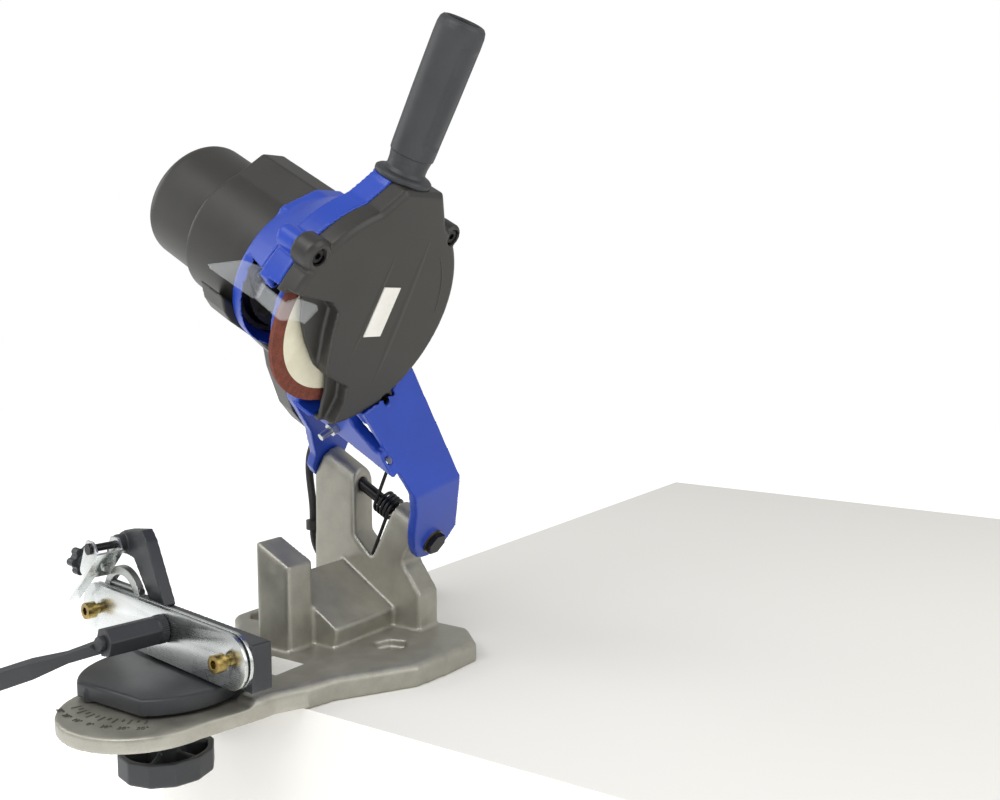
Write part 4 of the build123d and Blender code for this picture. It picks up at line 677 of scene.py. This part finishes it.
@dataclass
class Grinder:
    """Wheel with its blotter, drum, cover, eye shield and arm."""

    label_outer: float = 62.5
    label_inner: float = 20.3
    label_rise: float = 0.22
    wheel_half: float = 1.6
    rib_radius: float = 71.0
    rib_angles: tuple = (45.0, 4.0)
    rib_bead: float = 0.7
    face_level: float = 18.0
    soft: dict = field(default_factory=lambda: {
        "head_frame": (1.35, 2, BLUE_POLYAMIDE), "wheel_cover": (1.05, 3, BLACK_POLYAMIDE),
    })

    def build(self) -> None:
        """Make every piece of the grinding head."""
        for node, (voxel, passes, finish) in self.soft.items():
            settle(softened_copy(node, voxel, passes), node, finish)
        settle(bevelled_copy("eye_shield", 0.4), "eye_shield", CLEAR)
        self.blotter()
        self.crease("cover_crease_near", (0.0, 58.0), (-6.0, -33.0), 5.0)
        self.crease("cover_crease_far", (30.0, 74.0), (32.0, -64.0), 7.0)
        self.curved_rib()
        self.bare_label()

    def blotter(self) -> None:
        """Paper blotter on the wheel's face: a thin ring, flat with a soft outer edge."""
        half = self.wheel_half
        radii = np.array([self.label_inner, self.label_outer - 0.6, self.label_outer])
        rows = np.repeat(np.concatenate([radii, radii[::-1]])[:, None], 128, axis=1)
        heights = np.array([half + self.label_rise, half + self.label_rise, half + 0.05,
                            half - 0.1, half - 0.1, half - 0.1])
        angles = np.linspace(0, 2 * math.pi, 128, endpoint=False)
        local = np.stack([rows * np.cos(angles), rows * np.sin(angles),
                          np.repeat(heights[:, None], 128, axis=1)], axis=-1)
        piece = grid_piece("wheel_blotter", WHEEL.place(local), True, True)
        close_up(piece)
        settle(piece, "grinding_wheel", BLOTTER)

    def crease(self, name: str, start: tuple, end: tuple, width: float) -> None:
        """Raised fold on the cover: across, it climbs at once and falls slowly.

        Args:
            name: the piece's name.
            start: one end on the cover, back and up from the wheel's centre, in millimetres.
            end: the other end.
            width: width of the slow side.
        """
        share = np.linspace(0, 1, 60)[:, None]
        across = np.array([-0.6, 0.0, 0.25, 0.5, 0.75, 1.0])[None, :]
        rise = np.array([0.0, 0.75, 0.56, 0.36, 0.17, 0.0])[None, :]
        spine = np.array(start) + (np.array(end) - np.array(start)) * share
        side = unit(np.array([end[1] - start[1], start[0] - end[0]])) * -1
        fullness = np.sin(math.pi * share) ** 0.5
        offset = across * width * fullness
        top = np.stack([spine[:, :1] + offset * side[0], spine[:, 1:] + offset * side[1],
                        self.face_level - 0.25 + rise * fullness], axis=-1)
        low = top[:, ::-1].copy()
        low[..., 2] = self.face_level - 1.2
        piece = grid_piece(name, WHEEL.place(np.concatenate([top, low], axis=1)), False, True)
        close_up(piece)
        settle(piece, "wheel_cover", BLACK_POLYAMIDE)

    def curved_rib(self) -> None:
        """Short curved line beside the rim: a round bead along an arc about the centre."""
        angle = np.linspace(*(math.radians(degrees) for degrees in self.rib_angles), 40)[:, None]
        round_angle = np.linspace(0, 2 * math.pi, 10, endpoint=False)[None, :]
        bead = self.rib_bead * np.sin(np.linspace(0.05, math.pi - 0.05, 40))[:, None] ** 0.3
        radius = self.rib_radius + bead * np.cos(round_angle)
        level = self.face_level + 0.0 * angle + 0.6 * bead * np.sin(round_angle)
        local = np.stack([radius * np.cos(angle), radius * np.sin(angle), level], axis=-1)
        piece = grid_piece("cover_rib", WHEEL.place(local), False, True)
        close_up(piece)
        settle(piece, "wheel_cover", BLACK_POLYAMIDE)

    def bare_label(self) -> None:
        """Bare label on the cover: a thin slab with no print."""
        ring = np.array([[-1.2, -10.8], [16.9, -11.2], [18.2, 27.3], [0.6, 28.0]])
        heights = (self.face_level - 0.8, self.face_level + 0.85)
        local = np.stack([np.column_stack([ring, np.full(4, h)]) for h in heights])
        piece = grid_piece("cover_label", WHEEL.place(local), wrap_columns=True)
        close_up(piece)
        settle(piece, "wheel_cover", BARE_LABEL)


@dataclass
class Drive:
    """Motor housing, rear cap, lower housing, switch and side handle."""

    soft: dict = field(default_factory=lambda: {
        "motor_housing": (1.0, 4, BLACK_POLYAMIDE), "rear_cap": (1.0, 3, BLACK_POLYAMIDE),
        "lower_housing": (1.1, 4, BLACK_POLYAMIDE), "switch_rocker": (0.4, 3, GRIP),
    })
    panel_depth: float = 0.9
    panel_half_width: float = 0.62
    boot_length: float = 26.0
    boot_wide: float = 6.0
    boot_thin: float = 4.5
    boot_ripple: float = 0.35
    ribs: int = 5

    def build(self) -> None:
        """Make every piece of the drive."""
        for node, (voxel, passes, finish) in self.soft.items():
            settle(softened_copy(node, voxel, passes), node, finish)
        self.handle()
        self.strain_relief()

    def handle(self) -> None:
        """Side handle, turned, with a long flat panel front and back.

        Its radius is a profile in height, less a panel depth where both the angle and the
        height lie inside the panel, eased at the panel's edges.
        """
        knots = np.array([
            [0.0, 19.4], [1.0, 20.0], [3.0, 20.0], [4.2, 18.6], [5.2, 15.2], [7.5, 13.6],
            [12.0, 13.7], [17.2, 14.6], [17.8, 15.3], [22.0, 15.5], [60.0, 16.2], [96.0, 16.5],
            [104.0, 16.3], [107.5, 15.6], [109.4, 14.2], [110.0, 12.4], [109.2, 11.4],
            [100.5, 11.2], [100.2, 0.6],
        ])
        along = np.concatenate([[0.0], np.cumsum(np.linalg.norm(np.diff(knots, axis=0), axis=1))])
        steps = np.linspace(0, along[-1], 240)
        heights = np.interp(steps, along, knots[:, 0])
        profile = np.interp(steps, along, knots[:, 1])
        angles = np.linspace(0, 2 * math.pi, 96, endpoint=False)
        inside = np.clip((self.panel_half_width - np.abs(np.sin(angles))) / 0.12, 0, 1)
        run = np.clip((heights - 26) / 3, 0, 1) * np.clip((96 - heights) / 3, 0, 1)
        run = np.where(profile > 14.5, run, 0.0)
        radii = profile[:, None] - self.panel_depth * run[:, None] * inside[None, :]
        piece = turned_piece("handle_grip", HANDLE, radii, heights)
        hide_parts("handle")
        settle(piece, "handle", GRIP)

    def strain_relief(self) -> None:
        """Tapered boot: the radius falls with the height and ripples into ribs."""
        heights = np.linspace(0, self.boot_length, 90)
        share = heights / self.boot_length
        taper = self.boot_wide + (self.boot_thin - self.boot_wide) * share
        ripple = self.boot_ripple * np.cos(2 * math.pi * share * self.ribs)
        radii = np.repeat((taper + ripple - self.boot_ripple)[:, None], 48, axis=1)
        piece = turned_piece("strain_relief_boot", GLAND, radii, heights)
        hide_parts("strain_relief")
        settle(piece, "strain_relief", CORD_RUBBER)


@dataclass
class Lead:
    """Mains lead: down from the boot, through the clip, into a coil behind the machine.

    Attributes:
        diameter: of the cord, in millimetres.
        turns_in: turns of the upper layer, which winds in.
        turns_climb: turns in which the coil drops a layer.
    """

    diameter: float = 7.0
    centre: tuple = (-69.0, 143.0)
    outer: float = 48.0
    step: float = 7.9
    dip: float = 1.6
    turns_in: float = 2.5
    turns_climb: float = 0.5
    plug_up: float = 7.0
    plug_spread: float = 6.0
    marks_per_turn: int = 16

    def coil_point(self, turn: float) -> list[float]:
        """Point of the coil's line after a number of turns, in millimetres."""
        total = 2 * self.turns_in + self.turns_climb
        climb = min(max((turn - self.turns_in) / self.turns_climb, 0.0), 1.0)
        last = min(max(4 * (turn - total) + 1, 0.0), 1.0)
        outwards = max(turn - self.turns_in - self.turns_climb, 0.0)
        radius = self.outer - self.step * (min(turn, self.turns_in) - outwards)
        ease_last = last * last * (3 - 2 * last)
        ease_climb = climb * climb * (3 - 2 * climb)
        radius += self.plug_spread * ease_last - self.dip * math.sin(math.pi * climb)
        floor = self.diameter / 2
        height = floor + self.step * (1 - ease_climb) + (self.plug_up - floor) * ease_last
        angle = 2 * math.pi * turn
        return [self.centre[0] + radius * math.cos(angle),
                self.centre[1] + radius * math.sin(angle), height]

    def build(self) -> None:
        boot_end = GLAND.place(np.array([0.0, 0.0, 26.0])) / MM
        second = GLAND.place(np.array([0.0, 0.0, 40.0])) / MM
        free = [
            boot_end.tolist(), second.tolist(), [-64.0, 51.5, 140.5], [-62.2, 51.0, 127.5],
            [-56.0, 47.5, 109.0], [-56.0, 47.5, 95.0], [-56.0, 47.5, 75.0], [-54.0, 58.0, 56.0],
            [-47.0, 74.0, 38.0], [-31.0, 92.0, 22.0],
        ]
        total = 2 * self.turns_in + self.turns_climb
        count = int(total * self.marks_per_turn)
        coil = [self.coil_point(total * mark / count) for mark in range(count + 1)]
        start = np.array(coil[0])
        way = unit(start - np.array(self.coil_point(-0.002)))
        free.append((start - way * (24 + self.diameter)).tolist())
        free.append((start - way * self.diameter).tolist())
        finish_way = unit(np.array(coil[-1]) - np.array(self.coil_point(total - 0.002)))
        end = (np.array(coil[-1]) + finish_way * self.diameter).tolist()
        route = free + coil + [end]
        curve = bpy.data.curves.new("mains_lead", "CURVE")
        curve.dimensions = "3D"
        spline = curve.splines.new("NURBS")
        spline.points.add(len(route) - 1)
        for point, where in zip(spline.points, route):
            point.co = (where[0] * MM, where[1] * MM, where[2] * MM, 1.0)
        spline.order_u = 3
        spline.use_endpoint_u = True
        spline.resolution_u = 6
        bare = bpy.data.objects.new("mains_lead_line", curve)
        bpy.context.scene.collection.objects.link(bare)
        bpy.context.view_layer.update()
        line = bpy.data.meshes.new_from_object(
            bare.evaluated_get(bpy.context.evaluated_depsgraph_get())
        )
        curve.bevel_depth = self.diameter / 2 * MM
        curve.bevel_resolution = 4
        curve.use_fill_caps = True
        bpy.context.view_layer.update()
        tube = bpy.data.meshes.new_from_object(
            bare.evaluated_get(bpy.context.evaluated_depsgraph_get())
        )
        tube.name = "mains_lead"
        bpy.data.objects.remove(bare)
        piece = bpy.data.objects.new("mains_lead", tube)
        bpy.context.scene.collection.objects.link(piece)
        piece.data.shade_smooth()
        SHOP.dress(piece, CORD_RUBBER)
        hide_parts("lead_loop", "lead_tail", "lead_coil")
        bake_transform(piece)


@dataclass
class CarriedNodes:
    """CAD nodes whose shape is right and only need their finish."""

    finishes: dict = field(default_factory=lambda: {
        "lock_stud": ZINC_STEEL, "lock_washer": ZINC_STEEL, "clamp_stud": ZINC_STEEL,
        "stop_pin": BLACK_STEEL, "stop_rod": ZINC_STEEL, "stop_screw": ZINC_STEEL,
        "grinding_wheel": ABRASIVE, "inner_flange": ZINC_STEEL, "outer_flange": ZINC_STEEL,
        "wheel_nut": ZINC_STEEL, "spindle": GROUND_STEEL, "armature": LAMINATION,
        "commutator": COPPER, "cooling_fan": BLACK_POLYAMIDE, "front_bearing": GROUND_STEEL,
        "rear_bearing": GROUND_STEEL, "cover_screws": BLACK_STEEL, "handle_stud": ZINC_STEEL,
        "stator": LAMINATION, "carbon_brushes": CARBON, "brush_holders": COPPER,
        "hinge_bolt": BLACK_STEEL, "hinge_nut": YELLOW_ZINC, "hinge_washers": YELLOW_ZINC,
        "depth_stop_screw": ZINC_STEEL, "depth_stop_nut": ZINC_STEEL, "shield_pin": BLACK_STEEL,
        "torsion_spring": BLACK_STEEL, "lead_clip": BLACK_POLYAMIDE, "plug": CORD_RUBBER,
        "plug_pins": GROUND_STEEL,
    })

    def build(self) -> None:
        """Give each node its finish."""
        for node, finish in self.finishes.items():
            SHOP.dress(frame["nodes"][node], finish)
            LOG.info("%s: %s", node, finish.name)


@dataclass
class Studio:
    """Pale bench and floor, soft light and the camera."""

    eye: tuple = (0.6544, -0.7164, 0.3246)
    ahead: tuple = (-0.5521, 0.8254, -0.1179)
    lens_mm: float = 42.52
    sensor_mm: float = 36.0
    floor_level: float = -0.62

    def build(self) -> None:
        """Make the camera first, then the stage and the lights."""
        scene = bpy.context.scene
        camera = bpy.data.cameras.new("camera")
        camera.lens = self.lens_mm
        camera.sensor_width = self.sensor_mm
        holder = bpy.data.objects.new("camera", camera)
        scene.collection.objects.link(holder)
        ahead = Vector(self.ahead).normalized()
        right = ahead.cross(Vector((0, 0, 1))).normalized()
        up = right.cross(ahead)
        turn = Matrix((right, up, -ahead)).transposed().to_4x4()
        holder.matrix_world = Matrix.Translation(Vector(self.eye)) @ turn
        scene.camera = holder
        scene.view_settings.view_transform = "Standard"
        self.stage()
        self.lights()

    def pale(self, name: str, colour: str, glow: float) -> bpy.types.Material:
        """Pale matt material with a faint glow, so that it looks white and keeps shadows."""
        material = bpy.data.materials.new(name)
        material.use_nodes = True
        surface = material.node_tree.nodes["Principled BSDF"]
        surface.inputs["Base Color"].default_value = linear(colour)
        surface.inputs["Roughness"].default_value = 0.85
        surface.inputs["Emission Color"].default_value = linear(colour)
        surface.inputs["Emission Strength"].default_value = glow
        return material

    def slab(self, name: str, low: tuple, high: tuple, colour: str, glow: float) -> None:
        """Make one box of the stage between two corners, in metres."""
        mesh = bpy.data.meshes.new(name)
        shape = bmesh.new()
        bmesh.ops.create_cube(shape, size=1.0)
        shape.to_mesh(mesh)
        shape.free()
        size = [b - a for a, b in zip(low, high)]
        middle = [(a + b) / 2 for a, b in zip(low, high)]
        mesh.transform(Matrix.Translation(middle) @ Matrix.Diagonal((*size, 1.0)))
        piece = bpy.data.objects.new(name, mesh)
        bpy.context.scene.collection.objects.link(piece)
        piece.data.materials.append(self.pale(f"{name} paint", colour, glow))

    def stage(self) -> None:
        """Bench block under the base and a wide floor far below it."""
        self.slab("bench", (-0.082, -0.107, -0.60), (0.9, 0.85, -0.0002), "#eceae6", 0.05)
        low, high = (-6, -6, self.floor_level - 0.02), (6, 6, self.floor_level)
        self.slab("floor", low, high, "#ffffff", 0.7)

    def lights(self) -> None:
        """Large soft lamps, and a world that is white to camera rays and transmission rays."""
        lamps = (
            ("key", (0.2, -1.3, 1.5), (0.0, 0.0, 0.15), 1.3, 19.0),
            ("left", (-1.6, -0.7, 0.9), (0.0, -0.1, 0.15), 1.2, 9.0),
            ("right", (1.5, 0.2, 0.9), (0.0, -0.1, 0.2), 1.2, 8.0),
        )
        for name, where, target, size, power in lamps:
            lamp = bpy.data.lights.new(name, "AREA")
            lamp.size = size
            lamp.energy = power
            holder = bpy.data.objects.new(name, lamp)
            bpy.context.scene.collection.objects.link(holder)
            way = (Vector(target) - Vector(where)).to_track_quat("-Z", "Y")
            holder.matrix_world = Matrix.Translation(where) @ way.to_matrix().to_4x4()
        world = bpy.data.worlds.new("studio")
        bpy.context.scene.world = world
        world.use_nodes = True
        tree = world.node_tree
        tree.nodes.clear()
        path = add(tree, "ShaderNodeLightPath").outputs
        either = add(
            tree, "ShaderNodeMath", {"operation": "MAXIMUM"},
            {0: path["Is Camera Ray"], 1: path["Is Transmission Ray"]},
        )
        soft = add(tree, "ShaderNodeBackground", {"Color": linear("#f4f4f2"), "Strength": 0.55})
        white = add(tree, "ShaderNodeBackground", {"Color": linear("#ffffff"), "Strength": 1.0})
        mix = add(
            tree, "ShaderNodeMixShader", None,
            {"Fac": either.outputs[0], 1: soft.outputs[0], 2: white.outputs[0]},
        )
        add(tree, "ShaderNodeOutputWorld", None, {"Surface": mix.outputs[0]})


def main() -> None:
    """Build the stage, then each sub-assembly in order, and note the sizes."""
    logging.basicConfig(level=logging.INFO, format="%(name)s: %(message)s")
    for assembly in (Studio(), Lead(), CastBase(), Vise(), Grinder(), Drive(), CarriedNodes()):
        assembly.build()
        LOG.info("%s done", type(assembly).__name__)


if __name__ == "__main__":
    main()
